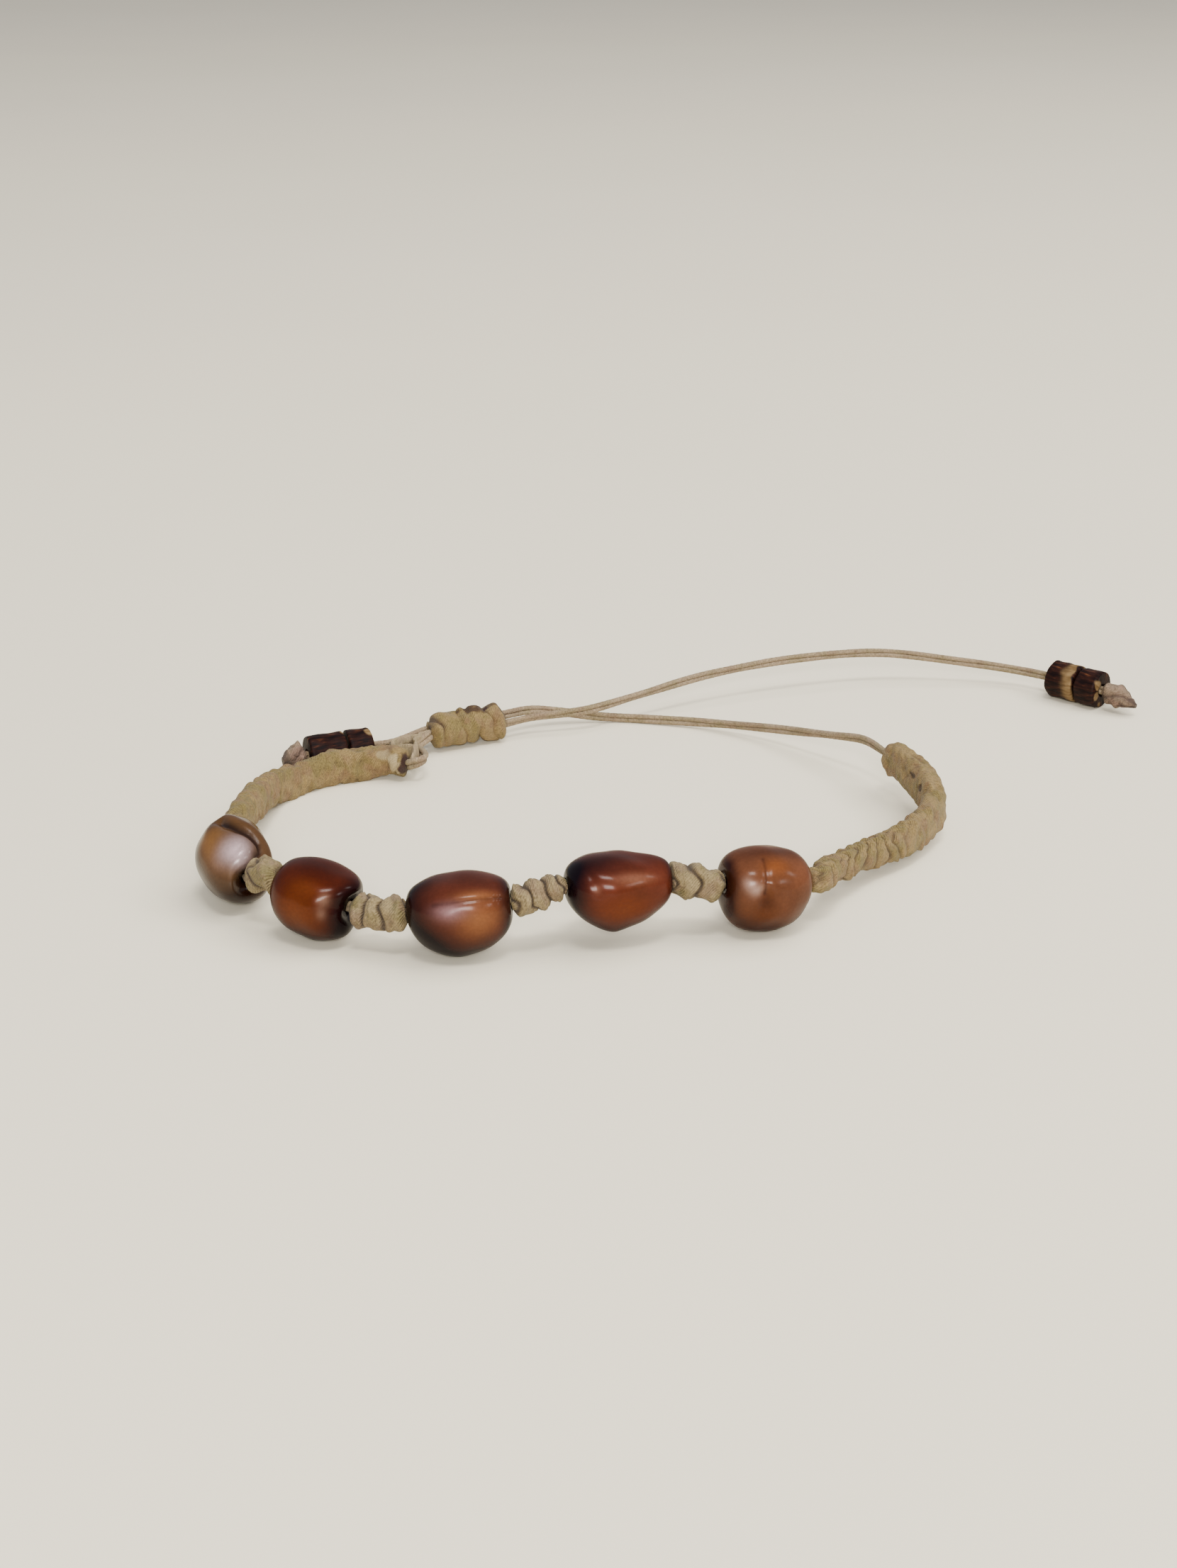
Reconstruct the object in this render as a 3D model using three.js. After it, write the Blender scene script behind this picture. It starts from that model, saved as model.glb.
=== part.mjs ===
// An adjustable bracelet of five baroque pearls on knotted waxed cord, lying on a table.
//
// Millimetres, +Z up. The table is z = 0 and the origin is under the middle of the bracelet.
// The pearls lie along the front (-Y), and a band of square knots runs back from each end of
// the row. The cords that leave the two bands meet in a sliding knot at the back, and go on as
// pull cords that end in coconut-shell beads.

import * as THREE from "three";
import { mergeVertices } from "three/addons/utils/BufferGeometryUtils.js";

// Driving dimensions
const CLEARANCE = 0.3; // between two pieces that touch on the real bracelet
const PAIR_D = 1.0; // a pair of fine waxed strands, side by side
const BORE_R = PAIR_D / 2 + CLEARANCE; // drilled through pearls, knots and beads

const BAND_TALL = 4.2; // the band stands on its edge
const BAND_THICK = 2.6;
const BAND_LEFT_LENGTH = 37.8;
const BAND_RIGHT_LENGTH = 40.85;
const RIB_PITCH = 1.8; // one square knot
const RIB_DEPTH = 0.15;
const BAND_PRESS = 0.2; // the lower edge is flattened this much where it rests

const WRAP_WIDTH = 1.1; // one turn of cord round the core, as seen from the side
const WRAP_DEPTH = 0.14;

const SLIDER_LENGTH = 9.5;
const SLIDER_R = 1.95;
const SLIDER_WAIST_R = 1.55; // between its two wrapped blocks
const SLIDER_LIFT = 0.35; // of its lower side above the table

const BEAD_R = 2.25;
const BEAD_CHAMFER = 0.35;

// Faces round each kind of piece
const PEARL_SIDES = 16;
const KNOT_SIDES = 12;
const BEAD_SIDES = 14;
const CORD_SIDES = 8;

// The pearls in their order along the row. Each surface is worked out from four outlines that
// run along the drilled hole: reach is how far one stands off the hole at its fullest, peak is
// where that is as a share of the length, and full is 2 on an ellipse, less on a pointed outline
// and more on a blunt one. lift is the gap under the pearl and tilt the rise of the hole from its
// middle to its far end.
const PEARLS = [
  {
    name: "pearl_1",
    length: 9.0,
    lift: 0,
    tilt: -0.1,
    top: { reach: 4.2, peak: 0.46, full: 2.1 },
    bottom: { reach: 4.1, peak: 0.5, full: 2.0 },
    outer: { reach: 4.2, peak: 0.5, full: 2.2 },
    inner: { reach: 3.0, peak: 0.55, full: 2.0 },
    colour: 0xa88c80,
  },
  {
    name: "pearl_2",
    length: 8.0,
    lift: 0,
    tilt: -0.5,
    top: { reach: 3.25, peak: 0.48, full: 2.2 },
    bottom: { reach: 4.4, peak: 0.52, full: 2.2 },
    outer: { reach: 4.0, peak: 0.5, full: 2.2 },
    inner: { reach: 4.0, peak: 0.5, full: 2.1 },
    colour: 0x8a4a32,
  },
  {
    name: "pearl_3",
    length: 9.9,
    lift: 0,
    tilt: 0.6,
    top: { reach: 3.2, peak: 0.47, full: 2.2 },
    bottom: { reach: 4.9, peak: 0.5, full: 2.1 },
    outer: { reach: 4.1, peak: 0.5, full: 2.1 },
    inner: { reach: 4.0, peak: 0.5, full: 2.1 },
    colour: 0x8f5238,
  },
  {
    name: "pearl_4",
    length: 10.1,
    lift: 1.35,
    tilt: -0.2,
    top: { reach: 2.8, peak: 0.4, full: 2.2 },
    bottom: { reach: 4.8, peak: 0.47, full: 1.55 },
    outer: { reach: 3.7, peak: 0.42, full: 2.0 },
    inner: { reach: 3.7, peak: 0.42, full: 2.0 },
    colour: 0x8a4424,
  },
  {
    name: "pearl_5",
    length: 8.6,
    lift: 0,
    tilt: -0.45,
    top: { reach: 3.4, peak: 0.48, full: 2.2 },
    bottom: { reach: 5.0, peak: 0.5, full: 2.2 },
    outer: { reach: 4.1, peak: 0.5, full: 2.2 },
    inner: { reach: 4.1, peak: 0.5, full: 2.1 },
    colour: 0x94593c,
  },
];

// The wrapped knots between them, each between the two pearls that its name gives
const KNOTS = [
  { name: "knot_1_2", length: 4.7, startR: 1.6, endR: 1.65 },
  { name: "knot_2_3", length: 5.95, startR: 1.65, endR: 1.7 },
  { name: "knot_3_4", length: 5.45, startR: 1.55, endR: 1.5 },
  { name: "knot_4_5", length: 5.4, startR: 1.6, endR: 1.75 },
];

// The bands' sections. at is a share of the band's length from its tip, thick and tall are shares
// of the band's own, lift is the height of the lower edge over the table in mm, and join says how
// far the band has risen from there to the height of the pearl's hole.
const BAND_LEFT_SECTIONS = [
  { at: 0, thick: 0.7, tall: 0.64, lift: 0.9, join: 0 },
  { at: 0.04, thick: 0.95, tall: 0.84, lift: 0.5, join: 0 },
  { at: 0.18, thick: 1, tall: 0.94, lift: 0.1, join: 0 },
  { at: 0.4, thick: 1, tall: 0.9, lift: 0, join: 0 },
  { at: 0.5, thick: 1, tall: 0.9, lift: 0, join: 0.3 },
  { at: 0.6, thick: 1, tall: 0.88, lift: 0, join: 0.6 },
  { at: 0.74, thick: 1, tall: 0.88, lift: 0, join: 0.88 },
  { at: 0.9, thick: 0.95, tall: 0.82, lift: 0, join: 1 },
  { at: 1, thick: 0.8, tall: 0.66, lift: 0, join: 1 },
];
const BAND_RIGHT_SECTIONS = [
  { at: 0, thick: 0.7, tall: 0.66, lift: 3.0, join: 0 },
  { at: 0.04, thick: 0.95, tall: 0.94, lift: 2.4, join: 0 },
  { at: 0.18, thick: 1, tall: 1, lift: 1.9, join: 0 },
  { at: 0.36, thick: 1, tall: 0.98, lift: 1.25, join: 0 },
  { at: 0.5, thick: 1, tall: 0.88, lift: 1.1, join: 0 },
  { at: 0.64, thick: 1.08, tall: 0.7, lift: 1.4, join: 0 },
  { at: 0.8, thick: 1, tall: 0.6, lift: 2.0, join: 0.15 },
  { at: 0.94, thick: 0.92, tall: 0.54, lift: 2.0, join: 0.9 },
  { at: 1, thick: 0.8, tall: 0.5, lift: 0, join: 1 },
];

// The row from the tip of the left band to the tip of the right one, seen from above. The points
// are chosen by hand, and the row is then drawn out to the length of the pieces that it holds.
const ROW_ROUTE = [
  [-19.7, 14.1],
  [-22.1, 15.3],
  [-25.6, 14.8],
  [-29.8, 12.5],
  [-32.0, 10.4],
  [-33.8, 7.0],
  [-34.9, -1.3],
  [-35.9, -8.8],
  [-35.3, -15.8],
  [-31.9, -21.9],
  [-25.9, -25.7],
  [-19.2, -28.8],
  [-11.7, -30.3],
  [-4.2, -29.1],
  [3.3, -26.4],
  [10.6, -25.6],
  [16.5, -25.1],
  [20.7, -23.6],
  [24.1, -19.3],
  [28.5, -13.1],
  [33.2, -8.5],
  [36.3, -3.6],
  [37.3, 1.3],
  [36.1, 6.5],
  [33.8, 12.1],
];

// Where the sliding knot lies, seen from above, with the heading of its cords. It and the beads
// beside the left band move out with the row.
const SLIDER_PLACE = { x: -13.7, y: 25.9, turn: THREE.MathUtils.degToRad(27) };

// Where the pull cords' beads lie: the middle of the first bead's near face, and the heading
const BEADS_RIGHT_PLACE = { x: 58.1, y: 43.1, turn: THREE.MathUtils.degToRad(-43) };
const BEADS_LEFT_PLACE = { x: -24.4, y: 19.4, turn: THREE.MathUtils.degToRad(-157) };
const RIGHT_BEADS = [
  { name: "right_bead_1", length: 3.8 },
  { name: "right_bead_2", length: 2.8 },
];
const LEFT_BEADS = [
  { name: "left_bead_1", length: 2.8 },
  { name: "left_bead_2", length: 4.3 },
];

// The cords' chosen points between the pieces that they join, as [x, y, height of the middle]
const CLOSING_ROUTE = [
  [31.7, 16.1, 4.3],
  [28.9, 19.3, 3.6],
  [25.7, 22.8, 2.7],
  [21.3, 26.9, 1.7],
  [14.9, 30.7, 0.9],
  [7.7, 32.8, 0.6],
  [1.5, 33.3, 0.8],
  [-2.9, 32.4, 1.7],
  [-6.3, 30.8, 2.5],
];
const LINK_ROUTE = [
  [-18.4, 13.7, 2.6],
  [-17.9, 14.5, 2.6],
  [-17.9, 15.9, 2.4],
  [-18.5, 17.9, 2.2],
  [-19.2, 19.7, 2.0],
];
const PULL_RIGHT_ROUTE = [
  [-6.3, 28.9, 2.2],
  [-2.9, 29.7, 2.4],
  [0.5, 30.6, 2.6],
  [6.6, 34.6, 3.0],
  [15.3, 39.8, 3.8],
  [26.1, 44.5, 4.2],
  [36.9, 47.4, 4.0],
  [47.3, 47.2, 2.9],
  [54.1, 45.7, 2.3],
];
const PULL_LEFT_ROUTE = [[-21.9, 20.7, 2.1]];

// The crushed knot and frayed ends that stop the beads. at is a share of the knot's length,
// radius a share of its own and sink how far it has sunk from the bead's hole to the table.
const END_KNOT_RIGHT = { length: 4.4, radius: 1.35 };
const END_KNOT_LEFT = { length: 3.2, radius: 1.6 };
const END_KNOT_SECTIONS = [
  { at: 0, radius: 0.6, sink: 0 },
  { at: 0.15, radius: 0.95, sink: 0.05 },
  { at: 0.4, radius: 1, sink: 0.15 },
  { at: 0.65, radius: 0.74, sink: 0.3 },
  { at: 0.85, radius: 0.42, sink: 0.38 },
  { at: 1, radius: 0.2, sink: 0.42 },
];

// Materials
const matte = (colour) => new THREE.MeshStandardMaterial({ color: colour, roughness: 0.8, metalness: 0 });
const nacre = (colour) => new THREE.MeshStandardMaterial({ color: colour, roughness: 0.25, metalness: 0.2 });
const KNOTTED_CORD = matte(0xb09a72);
const FINE_CORD = matte(0xc3ab95);
const SHELL_BEAD = matte(0x3a2015);
const FRAYED_CORD = matte(0xb9a393);

// A value from a table's column, on a smooth step between the two rows beside the place
function column(rows, key, at) {
  const next = rows.findIndex((row) => row.at >= at);
  if (next <= 0) return rows[next < 0 ? rows.length - 1 : 0][key];
  const [low, high] = [rows[next - 1], rows[next]];
  const share = THREE.MathUtils.smoothstep(at, low.at, high.at);
  return THREE.MathUtils.lerp(low[key], high[key], share);
}

// The directions across a path: in is level and points to its left, up completes the three
function across(tangent) {
  const worldUp = new THREE.Vector3(0, 0, 1);
  const inward = new THREE.Vector3().crossVectors(worldUp, tangent).normalize();
  const up = new THREE.Vector3().crossVectors(tangent, inward).normalize();
  return { inward, up };
}

// A ring of points round a place on a path. outline(angle) gives the distances inwards and up.
function ringAt(place, tangent, sides, phase, outline) {
  const { inward, up } = across(tangent);
  return Array.from({ length: sides }, (_, side) => {
    const [along, rise] = outline(phase + (2 * Math.PI * side) / sides);
    return place.clone().addScaledVector(inward, along).addScaledVector(up, rise);
  });
}

// A closed body from rings along a path, all with as many points. A bored body closes from its
// last ring to its first, so its rings end in the wall of the hole; a solid one has flat ends.
function bodyFrom(rings, bored) {
  const sides = rings[0].length;
  const points = rings.flat();
  const faces = [];
  const spans = bored ? rings.length : rings.length - 1;
  for (let ring = 0; ring < spans; ring++) {
    for (let side = 0; side < sides; side++) {
      const beside = (side + 1) % sides;
      const here = ring * sides;
      const ahead = ((ring + 1) % rings.length) * sides;
      faces.push(here + side, here + beside, ahead + side);
      faces.push(here + beside, ahead + beside, ahead + side);
    }
  }
  if (!bored) {
    for (const ring of [0, rings.length - 1]) {
      const middle = new THREE.Vector3();
      rings[ring].forEach((point) => middle.addScaledVector(point, 1 / sides));
      const hub = points.push(middle) - 1;
      for (let side = 0; side < sides; side++) {
        const pair = [ring * sides + side, ring * sides + ((side + 1) % sides)];
        faces.push(hub, ...(ring === 0 ? pair.reverse() : pair));
      }
    }
  }
  const geometry = new THREE.BufferGeometry().setFromPoints(points);
  geometry.setIndex(faces);
  return geometry;
}

const circle = (radius) => (angle) => [radius * Math.cos(angle), radius * Math.sin(angle)];

// A rounded rectangle: a superellipse, so that its four sides are nearly flat
function roundedBox(width, height) {
  const SQUARENESS = 3.2;
  const soften = (value) => Math.sign(value) * Math.abs(value) ** (2 / SQUARENESS);
  return (angle) => [(width / 2) * soften(Math.cos(angle)), (height / 2) * soften(Math.sin(angle))];
}

// How far one outline of a pearl stands off the hole, at a share of the pearl's length
function standOff({ reach, peak, full }, share) {
  const toPeak = share < peak ? (peak - share) / peak : (share - peak) / (1 - peak);
  return BORE_R + (reach - BORE_R) * (1 - toPeak ** full) ** (1 / full);
}

// A pearl round the hole that runs from one end point to the other
function pearlBody(pearl, start, end) {
  const RINGS = 14;
  const tangent = end.clone().sub(start).normalize();
  const rings = Array.from({ length: RINGS + 1 }, (_, ring) => {
    const share = (1 - Math.cos((Math.PI * ring) / RINGS)) / 2;
    const place = start.clone().lerp(end, share);
    return ringAt(place, tangent, PEARL_SIDES, 0, (angle) => {
      const [level, rise] = circle(1)(angle);
      const side = level > 0 ? pearl.inner : pearl.outer;
      const height = rise > 0 ? pearl.top : pearl.bottom;
      return [level * standOff(side, share), rise * standOff(height, share)];
    });
  });
  return bodyFrom(rings, true);
}

// A curve that leaves one end point along its heading and arrives at the other along its own
function bridge(from, fromHeading, to, toHeading) {
  const reach = from.distanceTo(to) / 3;
  return new THREE.CubicBezierCurve3(
    from,
    from.clone().addScaledVector(fromHeading, reach),
    to.clone().addScaledVector(toHeading, -reach),
    to,
  );
}

// A wrapped knot on the core between two pearls: turns of cord side by side, bored for the core
function wrappedBody(core, startR, endR) {
  const turns = Math.max(2, Math.round(core.getLength() / WRAP_WIDTH));
  const RINGS_A_TURN = 4;
  const count = turns * RINGS_A_TURN;
  const gap = CLEARANCE / core.getLength();
  const rings = [];
  const addRing = (share, radius) => {
    const place = THREE.MathUtils.lerp(gap, 1 - gap, share);
    rings.push(ringAt(core.getPointAt(place), core.getTangentAt(place), KNOT_SIDES, 0, circle(radius)));
  };
  for (let step = 0; step <= count; step++) {
    const share = step / count;
    const groove = WRAP_DEPTH * (1 + Math.cos((2 * Math.PI * step) / RINGS_A_TURN));
    addRing(share, THREE.MathUtils.lerp(startR, endR, share) - groove);
  }
  for (let turn = turns; turn >= 0; turn--) addRing(turn / turns, BORE_R);
  return bodyFrom(rings, true);
}

// A band of square knots: a rounded bar whose edges swell at each knot, flat where it rests
function bandBody(path, sections) {
  const ribs = Math.round(path.getLength() / RIB_PITCH);
  const RINGS_A_RIB = 4;
  const count = ribs * RINGS_A_RIB;
  const rings = Array.from({ length: count + 1 }, (_, step) => {
    const at = step / count;
    const swell = RIB_DEPTH * (1 - Math.cos((2 * Math.PI * step) / RINGS_A_RIB) - 1);
    const thick = BAND_THICK * column(sections, "thick", at) + swell;
    const tall = BAND_TALL * column(sections, "tall", at) + 2 * swell;
    const halfStep = Math.PI / KNOT_SIDES;
    const outline = roundedBox(thick, tall);
    return ringAt(path.getPointAt(at), path.getTangentAt(at), KNOT_SIDES, halfStep, outline);
  });
  rings.flat().forEach((point) => (point.z = Math.max(point.z, 0)));
  return bodyFrom(rings, false);
}

// A cord as a plain tube along its route
function cordBody(path) {
  const section = new THREE.Shape(
    Array.from({ length: CORD_SIDES }, (_, side) => {
      const [x, y] = circle(PAIR_D / 2)((2 * Math.PI * side) / CORD_SIDES);
      return new THREE.Vector2(x, y);
    }),
  );
  const STEP = 2.2 * PAIR_D;
  const FEWEST_STEPS = 12;
  return new THREE.ExtrudeGeometry(section, {
    steps: Math.max(FEWEST_STEPS, Math.round(path.getLength() / STEP)),
    bevelEnabled: false,
    extrudePath: path,
  });
}

// A shell bead: a drilled disc with a chamfer at each rim
function beadBody(start, heading, length) {
  const profile = [
    { along: 0, radius: BORE_R },
    { along: 0, radius: BEAD_R - BEAD_CHAMFER },
    { along: BEAD_CHAMFER, radius: BEAD_R },
    { along: length - BEAD_CHAMFER, radius: BEAD_R },
    { along: length, radius: BEAD_R - BEAD_CHAMFER },
    { along: length, radius: BORE_R },
  ];
  const halfStep = Math.PI / BEAD_SIDES;
  const rings = profile.map(({ along, radius }) =>
    ringAt(start.clone().addScaledVector(heading, along), heading, BEAD_SIDES, halfStep, circle(radius)),
  );
  return bodyFrom(rings, true);
}

// The knot that stops the beads, drooping from the height of their hole to the table
function endKnotBody(start, heading, { length, radius }) {
  const rings = [];
  const SECTIONS = 10;
  for (let step = 0; step <= SECTIONS; step++) {
    const at = step / SECTIONS;
    const size = radius * column(END_KNOT_SECTIONS, "radius", at);
    const place = start.clone().addScaledVector(heading, length * at);
    place.z = THREE.MathUtils.lerp(start.z, size, column(END_KNOT_SECTIONS, "sink", at));
    rings.push(ringAt(place, heading, KNOT_SIDES, 0, circle(size)));
  }
  return bodyFrom(rings, false);
}

// The sliding knot: two wrapped blocks with a waist between them
function sliderBody(start, end) {
  const heading = end.clone().sub(start).normalize();
  const turns = Math.round(SLIDER_LENGTH / WRAP_WIDTH / 2) * 2;
  const RINGS_A_TURN = 4;
  const count = turns * RINGS_A_TURN;
  const rings = Array.from({ length: count + 1 }, (_, step) => {
    const at = step / count;
    const toEnd = Math.min(at, 1 - at) * 2;
    const toWaist = Math.abs(2 * at - 1);
    const ROUNDING = 0.25;
    const full = THREE.MathUtils.smoothstep(Math.min(toEnd, toWaist), 0, ROUNDING);
    const groove = WRAP_DEPTH * (1 + Math.cos((2 * Math.PI * step) / RINGS_A_TURN));
    const radius = THREE.MathUtils.lerp(SLIDER_WAIST_R, SLIDER_R, full) - groove;
    return ringAt(start.clone().lerp(end, at), heading, KNOT_SIDES, 0, circle(radius));
  });
  return bodyFrom(rings, false);
}

// The row's pieces along its route, each between two distances from the left band's tip
const rowPieces = [{ length: BAND_LEFT_LENGTH }];
PEARLS.forEach((pearl, place) => {
  rowPieces.push(pearl);
  rowPieces.push(KNOTS[place] ?? { length: BAND_RIGHT_LENGTH });
});
const rowLength = rowPieces.reduce((sum, piece) => sum + piece.length, 0);
const rowCurve = new THREE.CatmullRomCurve3(
  ROW_ROUTE.map(([x, y]) => new THREE.Vector3(x, y, 0)),
  false,
  "centripetal",
);
rowCurve.arcLengthDivisions = 2000;
const drawnOut = rowLength / rowCurve.getLength();
const rowPlace = (distance) => rowCurve.getPointAt(distance / rowLength).multiplyScalar(drawnOut);

// The end points of each pearl's hole, raised until the pearl's lowest point is at its lift
let passed = BAND_LEFT_LENGTH;
const holes = PEARLS.map((pearl, place) => {
  const from = rowPlace(passed);
  const to = rowPlace(passed + pearl.length);
  passed += pearl.length + (KNOTS[place]?.length ?? 0);
  from.z = -pearl.tilt;
  to.z = pearl.tilt;
  const heading = to.clone().sub(from).normalize();
  const middle = from.clone().lerp(to, 0.5);
  const start = middle.clone().addScaledVector(heading, -pearl.length / 2);
  const end = middle.clone().addScaledVector(heading, pearl.length / 2);
  const body = pearlBody(pearl, start, end);
  body.computeBoundingBox();
  const raise = pearl.lift - body.boundingBox.min.z;
  start.z += raise;
  end.z += raise;
  return { heading, start, end };
});

// The path of a band, from its tip at one distance along the row to a pearl's hole at another.
// It ends straight, in line with the hole.
function bandPath(sections, tipDistance, pearlDistance, mouth, away) {
  const POINTS = 14;
  const STRAIGHT = 1.5;
  const ON_ROW = 0.88; // share of the band that keeps to the row
  const points = Array.from({ length: POINTS + 1 }, (_, step) => {
    const at = (ON_ROW * step) / POINTS;
    const place = rowPlace(THREE.MathUtils.lerp(tipDistance, pearlDistance, at));
    const halfTall = (BAND_TALL * column(sections, "tall", at)) / 2;
    const resting = halfTall + column(sections, "lift", at) - BAND_PRESS;
    place.z = THREE.MathUtils.lerp(resting, mouth.z, column(sections, "join", at));
    return place;
  });
  points.push(mouth.clone().addScaledVector(away, STRAIGHT));
  points.push(mouth.clone().addScaledVector(away, CLEARANCE));
  return new THREE.CatmullRomCurve3(points, false, "centripetal");
}

const firstHole = holes[0];
const lastHole = holes[holes.length - 1];
const leftAway = firstHole.heading.clone().negate();
const rightStart = rowLength - BAND_RIGHT_LENGTH;
const bandLeftPath = bandPath(BAND_LEFT_SECTIONS, 0, BAND_LEFT_LENGTH, firstHole.start, leftAway);
const bandRightPath = bandPath(
  BAND_RIGHT_SECTIONS,
  rowLength,
  rightStart,
  lastHole.end,
  lastHole.heading,
);

// A level heading from its angle to +X
const level = (turn) => new THREE.Vector3(Math.cos(turn), Math.sin(turn), 0);

// The sliding knot's axis, and the four places where cords meet its end faces. A pair that comes
// in at the front leaves at the back, because the two pairs cross inside.
const sliderHeading = level(SLIDER_PLACE.turn);
const sliderMiddle = new THREE.Vector3(SLIDER_PLACE.x, SLIDER_PLACE.y, 0).multiplyScalar(drawnOut);
sliderMiddle.z = SLIDER_R + SLIDER_LIFT;
const sliderStart = sliderMiddle.clone().addScaledVector(sliderHeading, -SLIDER_LENGTH / 2);
const sliderEnd = sliderMiddle.clone().addScaledVector(sliderHeading, SLIDER_LENGTH / 2);
const besideAxis = (PAIR_D + CLEARANCE) / 2;
function sliderPort(face, outward, toBack) {
  const { inward, up } = across(sliderHeading);
  const slope = outward > 0 ? 0.6 : 0; // at the right face the back pair lies higher than the front one
  const toPair = inward.addScaledVector(up, slope).normalize();
  return face
    .clone()
    .addScaledVector(toPair, toBack * besideAxis)
    .addScaledVector(sliderHeading, outward * CLEARANCE);
}

// A cord's path from its chosen points, with its end pieces' places before and after them
function cordPath(before, route, after) {
  const points = route.map(([x, y, z]) => new THREE.Vector3(x, y, z));
  return new THREE.CatmullRomCurve3([...before, ...points, ...after], false, "centripetal");
}

// Beads in a line from a place, with the end knot after the last one. spread is how far the
// place has moved out with the row, as a factor.
function beadLine(place, spread, beads, endKnot) {
  const heading = level(place.turn);
  const first = new THREE.Vector3(place.x * spread, place.y * spread, BEAD_R);
  let along = 0;
  const starts = beads.map(({ length }) => {
    const start = first.clone().addScaledVector(heading, along);
    along += length + CLEARANCE;
    return start;
  });
  const stop = first.clone().addScaledVector(heading, along + CLEARANCE);
  const cordEnd = first.clone().addScaledVector(heading, along);
  return { heading, first, starts, cordEnd, stop, endKnot };
}

const beadsRight = beadLine(BEADS_RIGHT_PLACE, 1, RIGHT_BEADS, END_KNOT_RIGHT);
const beadsLeft = beadLine(BEADS_LEFT_PLACE, drawnOut, LEFT_BEADS, END_KNOT_LEFT);

// The place just off a band's tip where its cords come out
const offTip = (path) => path.getPointAt(0).addScaledVector(path.getTangentAt(0), -CLEARANCE);

const closingPath = cordPath([offTip(bandRightPath)], CLOSING_ROUTE, [sliderPort(sliderEnd, 1, 1)]);
const linkPath = cordPath([offTip(bandLeftPath)], LINK_ROUTE, [sliderPort(sliderStart, -1, -1)]);
const pullRightPath = cordPath([sliderPort(sliderEnd, 1, -1)], PULL_RIGHT_ROUTE, [
  beadsRight.first,
  beadsRight.first.clone().lerp(beadsRight.cordEnd, 0.5),
  beadsRight.cordEnd,
]);
const pullLeftPath = cordPath([sliderPort(sliderStart, -1, 1)], PULL_LEFT_ROUTE, [
  beadsLeft.first,
  beadsLeft.first.clone().lerp(beadsLeft.cordEnd, 0.5),
  beadsLeft.cordEnd,
]);

// The core runs straight through each pearl and bends in the knots between them
const corePath = new THREE.CurvePath();
const knotPaths = [];
holes.forEach((hole, place) => {
  corePath.add(new THREE.LineCurve3(hole.start, hole.end));
  const next = holes[place + 1];
  if (!next) return;
  const between = bridge(hole.end, hole.heading, next.start, next.heading);
  corePath.add(between);
  knotPaths.push(between);
});

const bracelet = new THREE.Group();

function addPiece(name, geometry, material) {
  geometry.deleteAttribute("normal");
  geometry.deleteAttribute("uv");
  const body = mergeVertices(geometry, 1e-4);
  body.computeVertexNormals();
  const mesh = new THREE.Mesh(body, material);
  mesh.name = name;
  bracelet.add(mesh);
}

addPiece("band_left", bandBody(bandLeftPath, BAND_LEFT_SECTIONS), KNOTTED_CORD);
addPiece("band_right", bandBody(bandRightPath, BAND_RIGHT_SECTIONS), KNOTTED_CORD);
PEARLS.forEach((pearl, place) => {
  const { start, end } = holes[place];
  addPiece(pearl.name, pearlBody(pearl, start, end), nacre(pearl.colour));
});
KNOTS.forEach(({ name, startR, endR }, place) => {
  addPiece(name, wrappedBody(knotPaths[place], startR, endR), KNOTTED_CORD);
});
addPiece("core_cord", cordBody(corePath), FINE_CORD);
addPiece("sliding_knot", sliderBody(sliderStart, sliderEnd), KNOTTED_CORD);
addPiece("closing_cord", cordBody(closingPath), FINE_CORD);
addPiece("link_cord", cordBody(linkPath), FINE_CORD);
addPiece("pull_cord_right", cordBody(pullRightPath), FINE_CORD);
addPiece("pull_cord_left", cordBody(pullLeftPath), FINE_CORD);

function addBeads(line, beads, knotName) {
  beads.forEach(({ name, length }, place) => {
    addPiece(name, beadBody(line.starts[place], line.heading, length), SHELL_BEAD);
  });
  addPiece(knotName, endKnotBody(line.stop, line.heading, line.endKnot), FRAYED_CORD);
}

addBeads(beadsRight, RIGHT_BEADS, "right_end_knot");
addBeads(beadsLeft, LEFT_BEADS, "left_end_knot");

export default bracelet;
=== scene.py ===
"""The looks of an adjustable bracelet of five baroque pearls on knotted waxed cord.

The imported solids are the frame. Each visible surface is a grid worked out with numpy in
millimetres and put into its mesh in metres, in the frame's own place.
"""

from __future__ import annotations

import logging
import math
from dataclasses import dataclass, field
from enum import Enum
from typing import Callable, Sequence

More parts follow.
